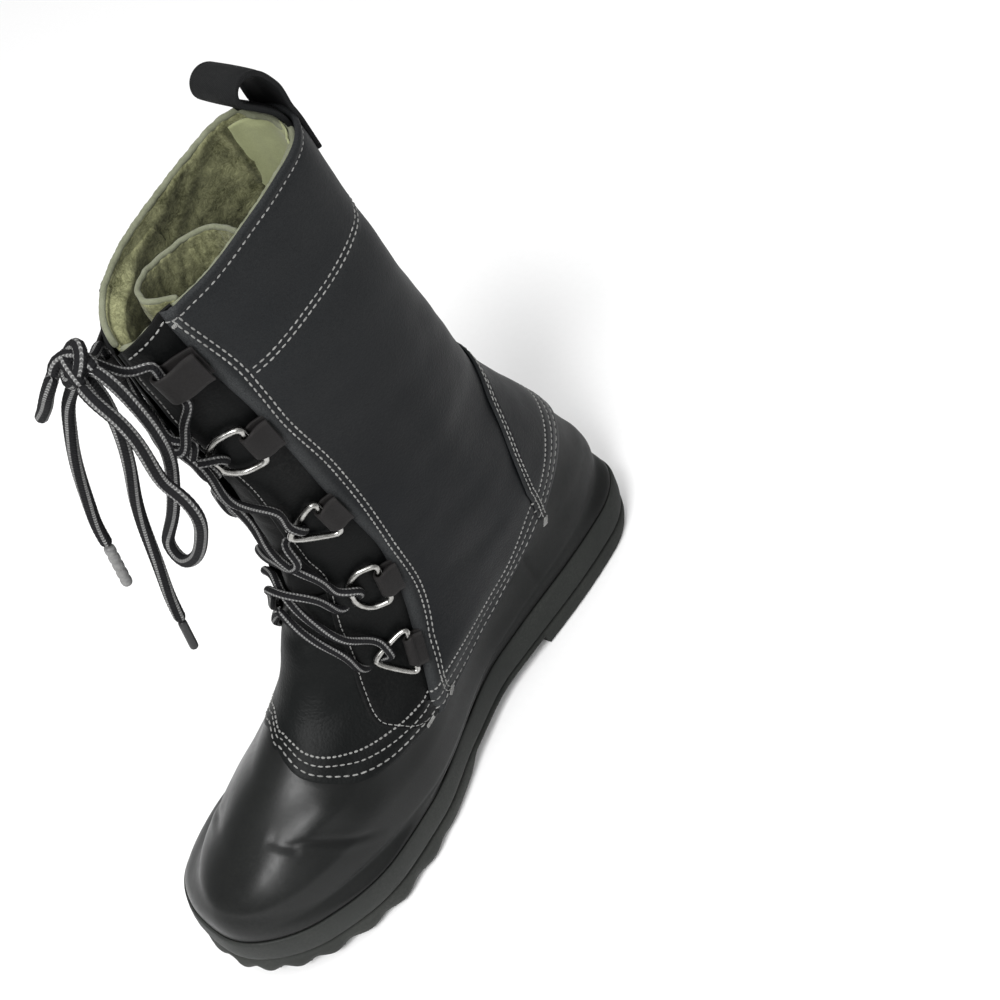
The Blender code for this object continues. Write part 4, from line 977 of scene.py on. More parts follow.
def build_shell():
    u, share = np.meshgrid(np.linspace(-1, 1, 641), np.linspace(0, 1, 66))
    top = band_top(outline_point(u[0], 4.5)[:, 1])[None, :]
    edge = lower_edge(u)
    z = (top + 0.9) + (edge - 0.3 - top - 0.9) * share
    skin = off_last(u, z, SKIN)
    foot = raised(outline_point(u, 1.9 + 3.0 * share), z)
    settled = ease(share / (0.15 + 0.17 * ease(1.3 - 4 * np.abs(u))))[..., None]
    points = foot * (1 - settled) + skin * settled
    relief = np.zeros_like(z)
    painted_shade = np.zeros_like(z)
    for corners, deep, width, trough, wide in CREASES:
        line = off_last(*np.array(corners).T, SKIN)
        d, t, away = from_line(points, evenly(line, 24))
        fade = ease(t / 0.3) * ease((1 - t) / 0.3)
        relief -= fade * (deep * bell(d, width) + trough * bell(d, wide))
        relief += fade * (away[..., 2] < 0) * 0.55 * deep * bell(d - 2.2 * width, 1.3 * width)
        # painted shade along each crease
        painted_shade += fade * 0.6 * bell(d, 0.8 * width)
    # the heel cup swells a little under the leather, and thins again above the band
    back = ease((np.abs(u) - 0.66) / 0.12)
    relief += back * 0.9 * np.sin(np.pi * np.clip(share, 0, 1)) ** 1.5
    # a soft ridge crosses the toe from its tip to the medial side of the instep
    ridge = off_last(np.array((0.03, 0.11, 0.2, 0.27)), np.array((44.0, 54.0, 60.0, 63.5)), SKIN)
    d, t, _ = from_line(points, evenly(ridge, 24))
    relief += (0.8 + 1.9 * t) * bell(d, 9.0) * ease(t / 0.3) * ease((1 - t) / 0.25)
    # a shallow moulded step runs round just above the band
    relief -= 0.2 * bell(share - 0.17, 0.035) * ease((np.abs(u) - 0.05) / 0.2)
    points = points + relief[..., None] * last_normal(u, z)
    tuck = [off_last(u[0], edge[0] + d, SKIN - s) for d, s in ((0.7, 0.1), (2.5, 0.7), (5.0, 1.6))]
    under = [raised(outline_point(u[0], i), top[0] + h) for i, h in ((4.4, -0.9), (3.4, -0.8), (2.5, -0.3))]
    # painted shade at the foot of the shell by the band and just under the leather's lower edge; the tuck hidden under
    # the leather is painted fully shaded
    painted_shade += 0.8 * bell(share, 0.05) + 0.5 * bell(z - edge, 1.2)
    painted_shade = np.concatenate([0 * painted_shade[:3], painted_shade, 0 * painted_shade[:3] + 1], axis=0)
    points = np.concatenate([np.array(under), points, np.array(tuck)], axis=0)
    thing = draped_grid(points)
    set_wear_and_shade(thing, painted_shade)
    with reworked(thing) as work:
        bmesh.ops.remove_doubles(work, verts=work.verts, dist=0.00002)
    finish_piece(thing, "rubber_foot", SHELL, "shell_rubber", "rubber_shell")


build_shell()

# ---- leather shaft
def girth_step(u, z):
    """Millimetres round the last for one unit of girth position."""
    return np.linalg.norm(on_last(u + NUDGE, z) - on_last(u - NUDGE, z), axis=-1) / (2 * NUDGE)


def soft_noise(u, z, scale, seed):
    """Smooth uneven surface made of a few crossing waves; about -1 to 1."""
    source = np.random.default_rng(seed)
    total = np.zeros(np.broadcast(u, z).shape)
    x = u * GIRTH
    for _ in range(9):
        a = source.uniform(0, np.pi)
        k = 2 * np.pi / (scale * source.uniform(0.7, 1.6))
        total += np.sin((x * math.cos(a) + z * math.sin(a)) * k + source.uniform(0, 6.3))
    return total / 4.0


def channels(distance, rows, width, depth):
    """The grooves that rows of stitching press into leather."""
    return -depth * sum(bell(distance - row, width) for row in rows)


TRIPLE_ROWS = (
    # each row of stitching round the leather's lower edge: u, height above the edge's line
    ((0.0, 1.2), (0.10, 1.3), (0.25, 1.5), (0.33, 2.3), (0.45, 3.5), (0.52, 3.8), (0.60, 4.5), (0.68, 4.2),
     (0.80, 4.6), (1.0, 4.8)),
    ((0.0, 2.6), (0.10, 2.9), (0.25, 3.8), (0.33, 5.8), (0.45, 10.3), (0.52, 12.0), (0.60, 12.5), (0.68, 11.0),
     (0.80, 10.6), (1.0, 10.6)),
    ((0.0, 3.8), (0.10, 4.4), (0.25, 6.0), (0.33, 9.4), (0.45, 17.5), (0.52, 20.0), (0.60, 20.5), (0.68, 18.0),
     (0.80, 16.6), (1.0, 16.4)),
)
edge_rows = [curve_through(row) for row in TRIPLE_ROWS]


def row_height(i, u):
    return lower_edge(u) + edge_rows[i](np.abs(u))


def edge_channels(u, z, width, depth):
    return -depth * sum(bell(z - row_height(i, u), width) for i in range(3))


ANKLE_CREASES = (
    # corners (u, z), depth, width: soft folds where the foot bends
    (((0.40, 112), (0.50, 104), (0.60, 101)), 0.35, 5.0),
    (((0.42, 139), (0.53, 131), (0.66, 132)), 0.45, 7.0),
    (((0.45, 166), (0.56, 160), (0.72, 166)), 0.35, 8.0),
    (((0.52, 205), (0.66, 196), (0.80, 203)), 0.30, 9.0),
    (((-0.40, 118), (-0.52, 108), (-0.62, 104)), 0.45, 5.0),
    (((-0.42, 146), (-0.55, 137), (-0.70, 140)), 0.50, 7.0),
    (((-0.46, 178), (-0.60, 171), (-0.76, 178)), 0.40, 8.0),
)


def shaft_relief(u, z):
    """How far the quarter's outer face stands from the last, in millimetres."""
    a = np.abs(u)
    step = girth_step(u, z)
    from_edge = (a - facing_edge(z)) * step * FACING_LEAN
    seam = (a - facing_seam(z)) * step * FACING_LEAN
    top = collar(u)
    relief = 0.55 * soft_noise(u, z, 46.0, 3) * ease((z - 90) / 60) * ease((a - 0.40) / 0.15) * 0.55
    relief += 0.12 * soft_noise(u, z, 17.0, 8)
    # the folded front strip: rolled over at its edge, full in the middle, drawn down by its seam
    relief += 0.85 * bell(from_edge - 4.0, 3.6)
    relief -= 1.9 * roll_in(from_edge, 3.0)
    relief += channels(seam, FACING_ROWS, 0.8, 0.28)
    relief += 0.18 * bell(seam, 0.6)
    # the cuff's seam: the cuff lies over the shaft
    cuff = z - cuff_seam(a)
    outside = ease((seam - 1.0) / 2.0)
    relief += 0.42 * ease((cuff + 0.4) / 0.8) * outside
    relief += channels(cuff, CUFF_ROWS, 0.85, 0.26) * outside
    # the collar: an even roll above one row of stitching
    below = top - z
    relief += 0.40 * bell(below - 1.9, 1.5)
    relief += channels(below, (COLLAR_ROW,), 0.9, 0.40)
    relief -= 1.2 * roll_in(below, 1.7)
    # the lower edge: thinned, with its three rows of stitching
    above = z - lower_edge(u)
    relief += edge_channels(u, z, 1.1, 0.30)
    relief -= 0.55 * np.clip(1 - above / 1.4, 0, 1) ** 2
    for corners, deep, wide in ANKLE_CREASES:
        line = np.array(corners) * (GIRTH, 1.0)
        d, t, _ = from_line(np.stack(np.broadcast_arrays(u * GIRTH, z), axis=-1), evenly(line, 16))
        relief -= deep * bell(d, wide) * ease(t / 0.3) * ease((1 - t) / 0.3)
    return relief


def between_edges(share_around, share_up, front, rear, low, high, start=100.0, turns=9):
    """Girth and height on a sheet whose edges lean: front(z) and rear(z) are girths, low(u) and high(u) heights."""
    z = start + 0 * (share_around + share_up)
    for _ in range(turns):
        u = front(z) + (rear(z) - front(z)) * share_around
        z = low(u) + (high(u) - low(u)) * share_up
    return u, z


def back_centre(_):
    """The rear edge of sheets that meet at the back."""
    return 1.0


def round_the_heel(sides):
    """Joins the medial and lateral columns of each array into one run, from front to front round the back."""
    return [np.concatenate([medial, lateral[:, -2::-1]], axis=1) for medial, lateral in zip(*sides)]


def build_quarters():
    around = np.concatenate([np.linspace(0, 0.10, 26), np.linspace(0.10, 1, 99)[1:]])[None, :]
    up = np.concatenate([np.linspace(0, 0.985, 168), np.linspace(0.985, 1, 9)[1:]])[:, None]
    sides = []
    for side, _ in SIDES:
        u, z = between_edges(around, up, facing_edge, back_centre,
                             lambda v: lower_edge(v * side), lambda v: collar(v * side), 120.0)
        u = u * side
        points = off_last(u, z, shaft_relief(u, z))
        from_edge = (np.abs(u) - facing_edge(z)) * girth_step(u, z)
        # rubbed paler along the facing's rolled edge and at the collar; the leather also grows paler towards the top
        # of the shaft
        wear_and_shade = 0.62 * ease((6.0 - from_edge) / 3.0) + 0.2 * bell(from_edge - 1.5, 1.2)
        wear_and_shade += 0.35 * bell(collar(u) - z, 1.2) + 0.30 * ease((z - 170.0) / 90.0)
        sides.append((points, wear_and_shade))
    points, wear_and_shade = round_the_heel(sides)
    thing = draped_grid(points)
    set_wear_and_shade(thing, wear_and_shade)
    thicken(thing, 1.9)
    finish_piece(thing, "shaft_quarters", SHAFT, "shaft_leather", "upper")


def eyestay_face(u, z):
    """The eyestay's outer face: sunk under the facing's rolled edge, dented by its straps."""
    side = np.where(u < 0, -1.0, 1.0)
    a = np.abs(u)
    step = girth_step(a, z)
    from_front = (a - throat_edge(z)) * step
    relief = 0.25 * soft_noise(a + side, z, 22.0, 5)
    relief += channels(from_front, (THROAT_ROW,), 0.8, 0.30)
    relief -= 0.55 * roll_in(from_front, 1.1)
    for level in LEVELS:
        relief -= 0.5 * bell(z - level[0], 9.0) * ease((from_front - 6) / 6.0)
        relief += 0.35 * bell(z - level[0] - 22.0, 8.0) * ease((from_front - 3) / 6.0)
    relief -= 1.2 * ease(1 - (facing_edge(z) - a) * step / 5.0) * ease((z - lower_edge(u)) / 12.0)
    relief += edge_channels(u, z, 1.0, 0.3)
    return -EYESTAY_DROP * thinning(u, z) + relief


def vamp_face(u, z):
    """The vamp's outer face: it swells over the instep, then runs in under the eyestays and laces."""
    sink = ease((z - 98.0) / 30.0)
    relief = 0.16 * soft_noise(u, z, 20.0, 12)
    relief += (2.6 * bell(z - 106, 13.0) - 1.0 * bell(z - 82, 8.0)) * bell(u, 0.15)
    relief += edge_channels(u, z, 0.8, 0.25)
    relief -= 0.45 * np.clip(1 - (z - lower_edge(u)) / 1.2, 0, 1) ** 2
    for z0, deep in ((112.0, 0.5), (121.0, 0.4)):
        relief -= deep * bell(z - z0 + 18 * u * u, 3.4) * bell(u, 0.12)
    return -VAMP_DROP * thinning(u, z) * (1 - sink) - 4.7 * sink + relief


def counter_face(u, z):
    """The counter's outer face, folded in along its front and top edge."""
    a = np.abs(u)
    step = girth_step(a, z)
    b = np.maximum(a, COUNTER_CORNER)
    top = counter_top(b)
    slope = np.abs(counter_top(b + NUDGE) - counter_top(b - NUDGE)) / (2 * NUDGE) / step
    from_top = (top - z) / np.sqrt(1 + slope ** 2)
    from_front = (a - counter_front(z)) * step
    inside = np.minimum(from_top, np.where(z < 98, from_front, 99.0))
    relief = 1.5 + 0.18 * soft_noise(u, z, 18.0, 31)
    relief -= 0.95 * roll_in(inside, 1.3)
    relief += channels(inside, COUNTER_ROWS, 0.8, 0.26) + edge_channels(u, z, 1.0, 0.30)
    return relief - 0.8 * np.clip(1 - (z - lower_edge(u)) / 9.0, 0, 1), inside


def build_eyestay(side, where):
    """The lacing strip under the facing: its front edge runs down to a point on the vamp."""
    up = np.linspace(0, 1, 190)[:, None]
    across = np.concatenate([np.linspace(0, 0.14, 10), np.linspace(0.14, 1, 25)[1:]])[None, :]
    u, z = between_edges(across, up, throat_edge, lambda v: facing_edge(v) + 0.035, lambda v: 57.2,
                         lambda v: collar(v * side, 0.5), 120.0, 12)
    z = np.maximum(z, lower_edge(u * side) + 1.0 + 0.02 * up)
    from_front = (u - throat_edge(z)) * girth_step(u, z)
    thing = draped_grid(off_last(u * side, z, eyestay_face(u * side, z)))
    set_wear_and_shade(thing, 0.5 * bell(from_front, 1.0) + 0.45 * bell(collar(u * side, 0.5) - z, 1.2))
    thicken(thing, 1.1)
    finish_piece(thing, "eyestay_" + where, FACING, "shaft_leather")


def build_vamp():
    """The vamp swells up from the rubber and runs on smoothly behind the laces."""
    u, z = between_edges(np.linspace(0, 1, 190)[None, :], np.linspace(0, 1, 120)[:, None],
                         lambda v: -throat_edge(v) - 0.05, lambda v: throat_edge(v) + 0.05,
                         lower_edge, lambda v: 131.0)
    thing = draped_grid(off_last(u, z, vamp_face(u, z)))
    set_wear_and_shade(thing, 0.12 * bell(z - 88, 14.0) * bell(u, 0.2))
    thicken(thing, 1.4)
    finish_piece(thing, "vamp", VAMP, "shaft_leather")


LEVELS = (
    # lacing levels: height, girth of the ring's bar, reach, half-width, pointed (1) or round (0), lateral girth
    (89.5, 0.330, 15.5, 9.8, 1, 0.350),
    (128.0, 0.298, 13.4, 10.6, 0, 0.330),
    (174.0, 0.262, 16.5, 9.8, 1, 0.310),
    (223.5, 0.232, 15.5, 10.0, 0, 0.270),
)
TOP_LOOP = (262.0, 0.158)


def build_tongue():
    rows, cols = 110, 60
    u = np.linspace(-0.30, 0.27, cols)[None, :] + np.zeros((rows, 1))
    share = np.linspace(0, 1, rows)[:, None]
    z = 100.0 + share * (266.0 + 6 * np.cos(3 * u) - 100.0)
    relief = 0.35 * soft_noise(u, z, 26.0, 21) - 0.2
    for k in range(7):
        z0 = 120 + 22 * k
        relief -= 0.35 * bell(z - z0 - 8 * np.sin(9 * u + k), 2.6) * bell(u, 0.16)
    thing = draped_grid(off_last(u, z, TONGUE_FACE + relief))
    set_wear_and_shade(thing, 0.3 * bell(1 - share, 0.02) + 0 * u)
    thicken(thing, 2.2, 0.5)
    finish_piece(thing, "tongue_sheet", TONGUE_HIDE, "tongue_leather", "tongue")
    u = u * 1.3 - 0.09
    top = collar(u, felt_drop(u) + 0.3)
    z = 200.0 + share * (top - 200.0)
    tufts = 0.2 * soft_noise(u, z, 6.0, 61) + 0.3 * soft_noise(u, z, 15.0, 62)
    edges = 4.6 * ease((-u - 0.30) / 0.13) * ease((top - z) / 4.0)
    felt = draped_grid(off_last(u, z, -9.1 + tufts + 4.8 * ease((z + 5.5 - top) / 4.5) + edges))
    felt.data.flip_normals()
    # painted shade: the felt darkens towards its bottom, down in the throat
    set_wear_and_shade(felt, 0.5 * ease((1 - share) / 0.4) + 0 * u)
    pad(felt, 0.9)
    finish_piece(felt, "tongue_felt", LINING, "lining_fleece")


def build_counter():
    """Heel counter: laid over the quarters, its front edge folded and sewn down with two rows."""
    around = np.concatenate([np.linspace(0, 0.16, 17)[:-1], np.linspace(0.16, 1, 44)])[None, :]
    up = np.linspace(0, 1, 84)[:, None]
    sides = []
    for side, _ in SIDES:
        u, z = between_edges(around, up, counter_front, back_centre, lambda v: lower_edge(v * side) + 0.4,
                             lambda v: counter_top(np.maximum(v, COUNTER_CORNER)))
        relief, inside = counter_face(u * side, z)
        sides.append((off_last(u * side, z, relief), 0.5 * bell(inside, 1.0)))
    points, wear_and_shade = round_the_heel(sides)
    thing = draped_grid(points)
    set_wear_and_shade(thing, wear_and_shade)
    thicken(thing, 1.1)
    finish_piece(thing, "heel_counter_panel", SHAFT, "shaft_leather", "heel_counter")


LINING_FOLDS = (
    # folds pressed into the pile: corners (u, z) from the collar downwards
    ((-0.715, 300), (-0.675, 297), (-0.625, 291), (-0.565, 284), (-0.50, 276), (-0.44, 262)),
    ((-0.775, 301), (-0.778, 290), (-0.782, 276), (-0.78, 258)),
    ((-0.60, 296), (-0.50, 288), (-0.42, 283), (-0.30, 279), (-0.20, 276)),
    ((0.70, 296), (0.64, 286), (0.60, 268)),
)


def felt_drop(u):
    """How far below the leather's top the felt ends: sunk on the medial side, standing proud on the lateral side."""
    near = ease((u - 0.03) / 0.1) * ease((0.99 - u) / 0.12)
    far = ease((-u - 0.04) / 0.12) * ease((0.97 + u) / 0.12)
    return 0.6 + 2.2 * near - 2.9 * far


def lining_front(z):
    """The lining is open along the throat and closed below it."""
    return np.where(z > 118, throat_edge(z) + 0.012 + 0.05 * ease((266 - z) / 12), 0.0)


def build_lining():
    """Pile lining, from the collar down to the insole."""
    up = np.linspace(0, 1, 130)[:, None]
    parts = []
    for side, _ in SIDES:
        u, z = between_edges(np.linspace(0, 1, 100)[None, :], up, lining_front, back_centre, lambda v: 40.0,
                             lambda v: collar(v * side, felt_drop(v * side)), 150.0, 8)
        tufts = 0.30 * soft_noise(u * side, z, 5.0, 41) + 0.35 * soft_noise(u * side, z, 12.0, 42)
        behind = np.where(np.abs(u) < facing_edge(z) + 0.02, 3.9, 3.1)
        deep = -(behind + 1.1 + tufts * ease((collar(u * side) - z) / 6.0))
        low = ease((70.0 - z) / 25.0)
        points = off_last(u * side, z, deep * (1 - low) - 7.4 * low)
        shade = 0.75 * ease((collar(u * side) - z - 34.0) / 90.0)
        for corners in LINING_FOLDS:
            line = np.array(corners) * (GIRTH, 1.0)
            d, t, _ = from_line(np.stack([u * side * GIRTH, z], axis=-1), evenly(line, 12))
            shade = shade + 0.6 * bell(d, 1.3) * ease((1 - t) / 0.4)
            points = points - last_normal(u * side, z) * (0.8 * bell(d, 2.2) * ease((1 - t) / 0.4))[..., None]
        parts.append((points, shade))
    points, shade = round_the_heel(parts)
    thing = draped_grid(points)
    thing.data.flip_normals()
    set_wear_and_shade(thing, shade)
    pad(thing, 0.8)
    finish_piece(thing, "pile_lining", LINING, "lining_fleece")


def build_rim():
    """Pale felt edge that rolls over the collar's inner side, from the front round the back to the front."""
    u = np.concatenate([np.linspace(0.02, 1.0, 170), np.linspace(-1.0, -0.02, 170)[1:]])
    z = collar(u, felt_drop(u) - 0.1)
    behind = np.where(np.abs(u) < facing_edge(z) + 0.01, 3.7, 3.3) + 2.4 * ease((np.abs(u) - 0.86) / 0.06)
    path = off_last(u, z, -behind)
    path = evenly(path[::4], 420)
    thing = swept_tube(path, 1.2, 16, up=(0, 0, 1), ends=0.4)
    for v in thing.data.vertices:
        p = v.co / MM
        swell = 0.10 * math.sin(p.y * 0.9 + p.x * 0.5) + 0.08 * math.sin(p.y * 2.3 - p.x * 1.9)
        v.co.z += swell * MM
    finish_piece(thing, "rim_felt_edge", RIM_FELT, "rim_felt")


def build_back_patch():
    """Smooth felt strip up the inside of the back, over the pull loop's sewn end."""
    u = np.linspace(-0.225, 0.225, 80)[None, :] + np.zeros((70, 1))
    share = np.linspace(0, 1, 70)[:, None]
    z = 225.0 + share * (collar(1 + u, 0.7) - 225.0)
    middle = ease((0.17 - np.abs(u)) / 0.08) * ease((z - 262.0) / 12.0) * ease((collar(1 + u) - z) / 4.0)
    deep = -(4.95 + 1.7 * middle - 0.9 * ease((np.abs(u) - 0.2) / 0.02)) + 0.10 * soft_noise(u, z, 16.0, 71)
    thing = draped_grid(off_last(1 + u, z, deep))
    thing.data.flip_normals()
    # painted shade: the felt darkens from 30 mm below the collar downwards
    set_wear_and_shade(thing, 0.55 * ease((collar(1 + u) - z - 30.0) / 60.0) + 0 * u)
    pad(thing, 0.6)
    finish_piece(thing, "back_patch", PATCH_FELT, "lining_fleece")


build_quarters()
for side, where in SIDES:
    build_eyestay(side, where)
build_vamp()
build_tongue()
build_counter()
build_lining()
build_rim()
build_back_patch()


# ---- tongue's gusset and pull loop
GUSSET_TOP = ((14.2, -24.5), (9.8, -28.4), (5.2, -30.6), (0, -28.5), (-5, -22), (-7.5, -11), (-7.5, 0), (-4, 7),
              (1, 9), (7, 9), (13, 8))
GUSSET_LOW = ((12.5, -15.5), (10, -18.5), (6.5, -21), (2, -22.5), (-2, -21.5), (-5, -18.5), (-5.5, -15), (-3, -12.5),
              (1, -11.5), (6, -11.5), (11, -11))


def build_gusset():
    """The folded felt of the tongue: a sheet standing on a curled line, with a pale bound edge."""
    count, rows = 130, 90
    top = evenly(GUSSET_TOP, count)
    low = evenly(GUSSET_LOW, count)
    share = np.linspace(0, 1, rows)[:, None]
    z = 180.0 + share * (284.6 + 1.5 * np.sin(np.linspace(0, 6.5, count))[None, :] - 180.0)
    t = ease((z - 175.0) / 100.0)[..., None]
    plan = low[None] * (1 - t) + top[None] * t
    run = np.gradient(plan, axis=1)
    n = np.stack([run[..., 1], -run[..., 0]], axis=-1)
    n = n / np.maximum(np.linalg.norm(n, axis=-1, keepdims=True), 1e-6)
    along = np.linspace(0, 0.9, count)[None, :]
    tuft = 0.22 * soft_noise(along, z, 5.0, 51) + 0.30 * soft_noise(along, z, 14.0, 52)
    plan = plan + n * (0.9 + tuft)[..., None]
    points = raised(plan, z)
    thing = draped_grid(points)
    # painted shade: the felt darkens towards its bottom, down in the throat
    set_wear_and_shade(thing, 0.7 * ease((1 - share) / 0.5) + 0 * z)
    pad(thing, 1.8)
    finish_piece(thing, "gusset_fleece", LINING, "lining_fleece", "tongue_gusset")
    edge = swept_tube(evenly(points[-1, ::5] - raised(0.9 * n[-1, ::5], -0.2), 240), 1.05, 14, ends=0.4)
    finish_piece(edge, "gusset_edge", RIM_FELT, "rim_felt")


PULL_OUTER_SEAM = (285, 288, 291, 295)
PULL_FREE = ((53.3, 301), (51.6, 306), (48.5, 313), (44.5, 320), (40.0, 324.6), (35, 325.8), (31.2, 323.8),
             (30.4, 320.4), (33.2, 316.4), (38.2, 312.4), (43.4, 308.4), (46.8, 304.2))
PULL_INNER_SEAM = (297, 292, 287, 282)
PULL_HALF = 11.0              # half the strap's width
PULL_LEAVES = 304.0           # height where the strap leaves the collar


def back_wall(x, z):
    """y of the shaft's outer face at the back, x away from its middle."""
    near, far = 1.0, 0.75
    for _ in range(20):
        u = 0.5 * (near + far)
        if on_last(u, z)[0] < x:
            near = u
        else:
            far = u
    return float(on_last(u, z)[1])


def build_pull_loop():
    route = [(back_wall(0, z) + 1.7, z) for z in PULL_OUTER_SEAM] + list(PULL_FREE)
    route += [(back_wall(0, z) - LEATHER - 0.9, z) for z in PULL_INNER_SEAM]
    path = evenly(route, 150)
    across = np.linspace(-1, 1, 33)
    hug_at = {x: curve_through([(z, back_wall(0, z) - back_wall(abs(x) * PULL_HALF, z)) for z in range(258, 306, 4)])
              for x in across}
    run = unit(np.gradient(path, axis=0))
    n = np.stack([np.zeros(len(path)), run[:, 1], -run[:, 0]], axis=1)
    free = ease((path[:, 1] - PULL_LEAVES) / 12.0)
    columns = []
    for x in across:
        hug = hug_at[x](np.minimum(path[:, 1], PULL_LEAVES)) * (1 - free)
        middle = np.stack([np.full(len(path), x * PULL_HALF), path[:, 0] - hug, path[:, 1]], axis=1)
        crown = 0.25 * (1 - x * x) * free + 0.12 * np.sin(path[:, 1] * 0.35 + 2 * x) * free
        fold = -0.15 * bell(abs(x) - 0.84, 0.05)
        columns.append(middle + n * (1.0 + crown + fold)[:, None])
    thing = draped_grid(np.stack(columns, axis=1))
    pad(thing, 2.0, 0.7, 3)
    finish_piece(thing, "pull_loop_strap", STRAP, "strap_webbing", "pull_loop")


build_gusset()
build_pull_loop()

# ---- rings, tabs and lace loops
WIRE = 1.3
TAB_WIDTH = 12.6
RING_TILT = math.radians(-10)
RING_HOLE = WIRE + 0.45                      # radius of the strap's fold round the wire
RING_HEIGHT = RING_HOLE + 1.0 + 0.35         # of the wire's middle over the leather
KEEPER_HOLE = LACE + 0.5
KEEPER_HEIGHT = LACE + 0.4 + 1.0 + 0.35


def seat_frame(u, z, nose, width):
    """Seat on the eyestay: origin, way to the throat, way up the facing, outward normal, and the tail's length."""
    sign = math.copysign(1.0, u)
    origin = off_last(u, z, -EYESTAY_DROP * thinning(u, z))
    n = last_normal(u, z)
    up = on_last(sign * facing_edge(z + 6), z + 6) - on_last(sign * facing_edge(z - 6), z - 6)
    up = unit(up - n * np.dot(up, n))
    forward = np.cross(up, n)
    if np.dot(forward, on_last(u * 0.9, z) - origin) < 0:
        forward = -forward
    tail = np.dot(origin - on_last(sign * facing_edge(z), z), forward) - 2.6
    v = u + sign * 0.012 * (np.arange(9) - 5)[:, None]
    height = z + (width + 2) * (np.arange(9) - 4)[None, :] / 8
    p = off_last(v, height, -EYESTAY_DROP * thinning(v, height)) - origin
    reach = p @ forward
    rise = np.where((reach > -tail - 1) & (reach < nose + 1), p @ n, 0.0).max()
    return origin + n * max(rise, 0.0), forward, up, n, tail


def strap_tab(name, u, z, hole, height, width, nodes, narrow=0.84):
    """Leather strap folded round a wire or lace: it comes out from under the facing and goes back under it."""
    origin, forward, up, n, tail = seat_frame(u, z, hole + 1.0, width)
    radius = hole + 0.55
    line = [(-tail - 4.5, 0.62), (-tail - 1.5, 0.75), (-0.55 * tail, radius * 0.82)]
    line += [(radius * math.cos(a), radius * math.sin(a)) for a in np.radians((100, 70, 40, 10, -20, -50, -80, -110))]
    line += [(-0.5 * tail, -height + 0.85), (-tail, -height + 0.75), (-tail - 4.5, -height + 0.7)]
    path = evenly(line, 54)
    along = np.linspace(-1, 1, 25)
    rows = []
    for f, h in path:
        t = ease((f + tail) / (tail + hole))
        half = width / 2 * ((1 - t) * 1.06 + t * narrow)
        crown = 0.35 * (1 - along ** 2) * (1 if h > 0 else 0) * (0.4 + 0.6 * (1 - t))
        dent = -0.22 * bell(1 - np.abs(along), 0.13) * (1 if h > 0 else 0)
        rows.append(origin + forward * f + n * (height + h) + up * (half * along)[:, None]
                    + n * (crown + dent)[:, None])
    thing = draped_grid(np.array(rows))
    pad(thing, 1.1, 0.35, offset=0.0)
    places = np.empty(3 * len(thing.data.vertices))
    thing.data.vertices.foreach_get("co", places)
    local = places.reshape(-1, 3) / MM - origin
    rim = np.abs(local @ up) / (width / 2)
    set_wear_and_shade(thing, 0.55 * bell(0.95 - rim, 0.07) + 0.35 * bell(local @ forward - hole - 1, 1.6))
    finish_piece(thing, name, TAB_HIDE, "shaft_leather", *nodes)


def ring_plan(reach, half, pointed):
    """A ring drawn by its corners, then rounded: the bar inside the strap, then a round bow or a pointed one."""
    if pointed:
        corners = [(-0.62, 0), (-1.0, 0.0), (-0.98, 0.20), (-0.16, 1.0), (0.16, 1.0), (0.98, 0.20), (1.0, 0.0),
                   (0.62, 0), (0, 0)]
    else:
        corners = [(-0.55, 0), (-0.99, 0.0), (-1.02, 0.36), (-0.98, 0.66), (-0.55, 1.0), (0, 1.04), (0.55, 1.0),
                   (0.98, 0.66), (1.02, 0.36), (0.99, 0.0), (0.55, 0), (0, 0)]
    line = np.array([(v * half, f * reach) for v, f in corners])
    for _ in range(4):
        after = np.roll(line, -1, axis=0)
        line = np.stack([0.75 * line + 0.25 * after, 0.25 * line + 0.75 * after], axis=1).reshape(-1, 2)
    return line


ring_seats = {}


def build_level(side, where, number):
    z, medial, reach, half, pointed, lateral = LEVELS[number]
    u = medial if side > 0 else lateral
    label = where + "_" + "abcd"[number]
    strap_tab("strap_" + label, side * u, z, RING_HOLE, RING_HEIGHT, TAB_WIDTH + 1.2, ["tab_" + label])
    origin, forward, up, n, _ = seat_frame(side * u, z, WIRE + 1.35, TAB_WIDTH)
    centre = origin + n * RING_HEIGHT
    away = forward * math.cos(RING_TILT) + n * math.sin(RING_TILT)
    path = np.array([centre + up * v + away * f for v, f in ring_plan(reach, half, pointed)])
    across = np.cross(away, up)
    ring = swept_tube(path, WIRE, 16, closed=True, up=across)
    finish_piece(ring, "wire_ring_" + label, STEEL, "ring_steel", "ring_" + label)
    ring_seats[(side, number)] = (centre, away, up, across * (1 if np.dot(across, n) > 0 else -1), reach)


for side, where in reversed(SIDES):
    for number in range(4):
        build_level(side, where, number)
    strap_tab("lace_keeper_" + where, side * TOP_LOOP[1], TOP_LOOP[0], KEEPER_HOLE, KEEPER_HEIGHT, TAB_WIDTH,
              ["lace_loop_tab_" + where], narrow=0.95)


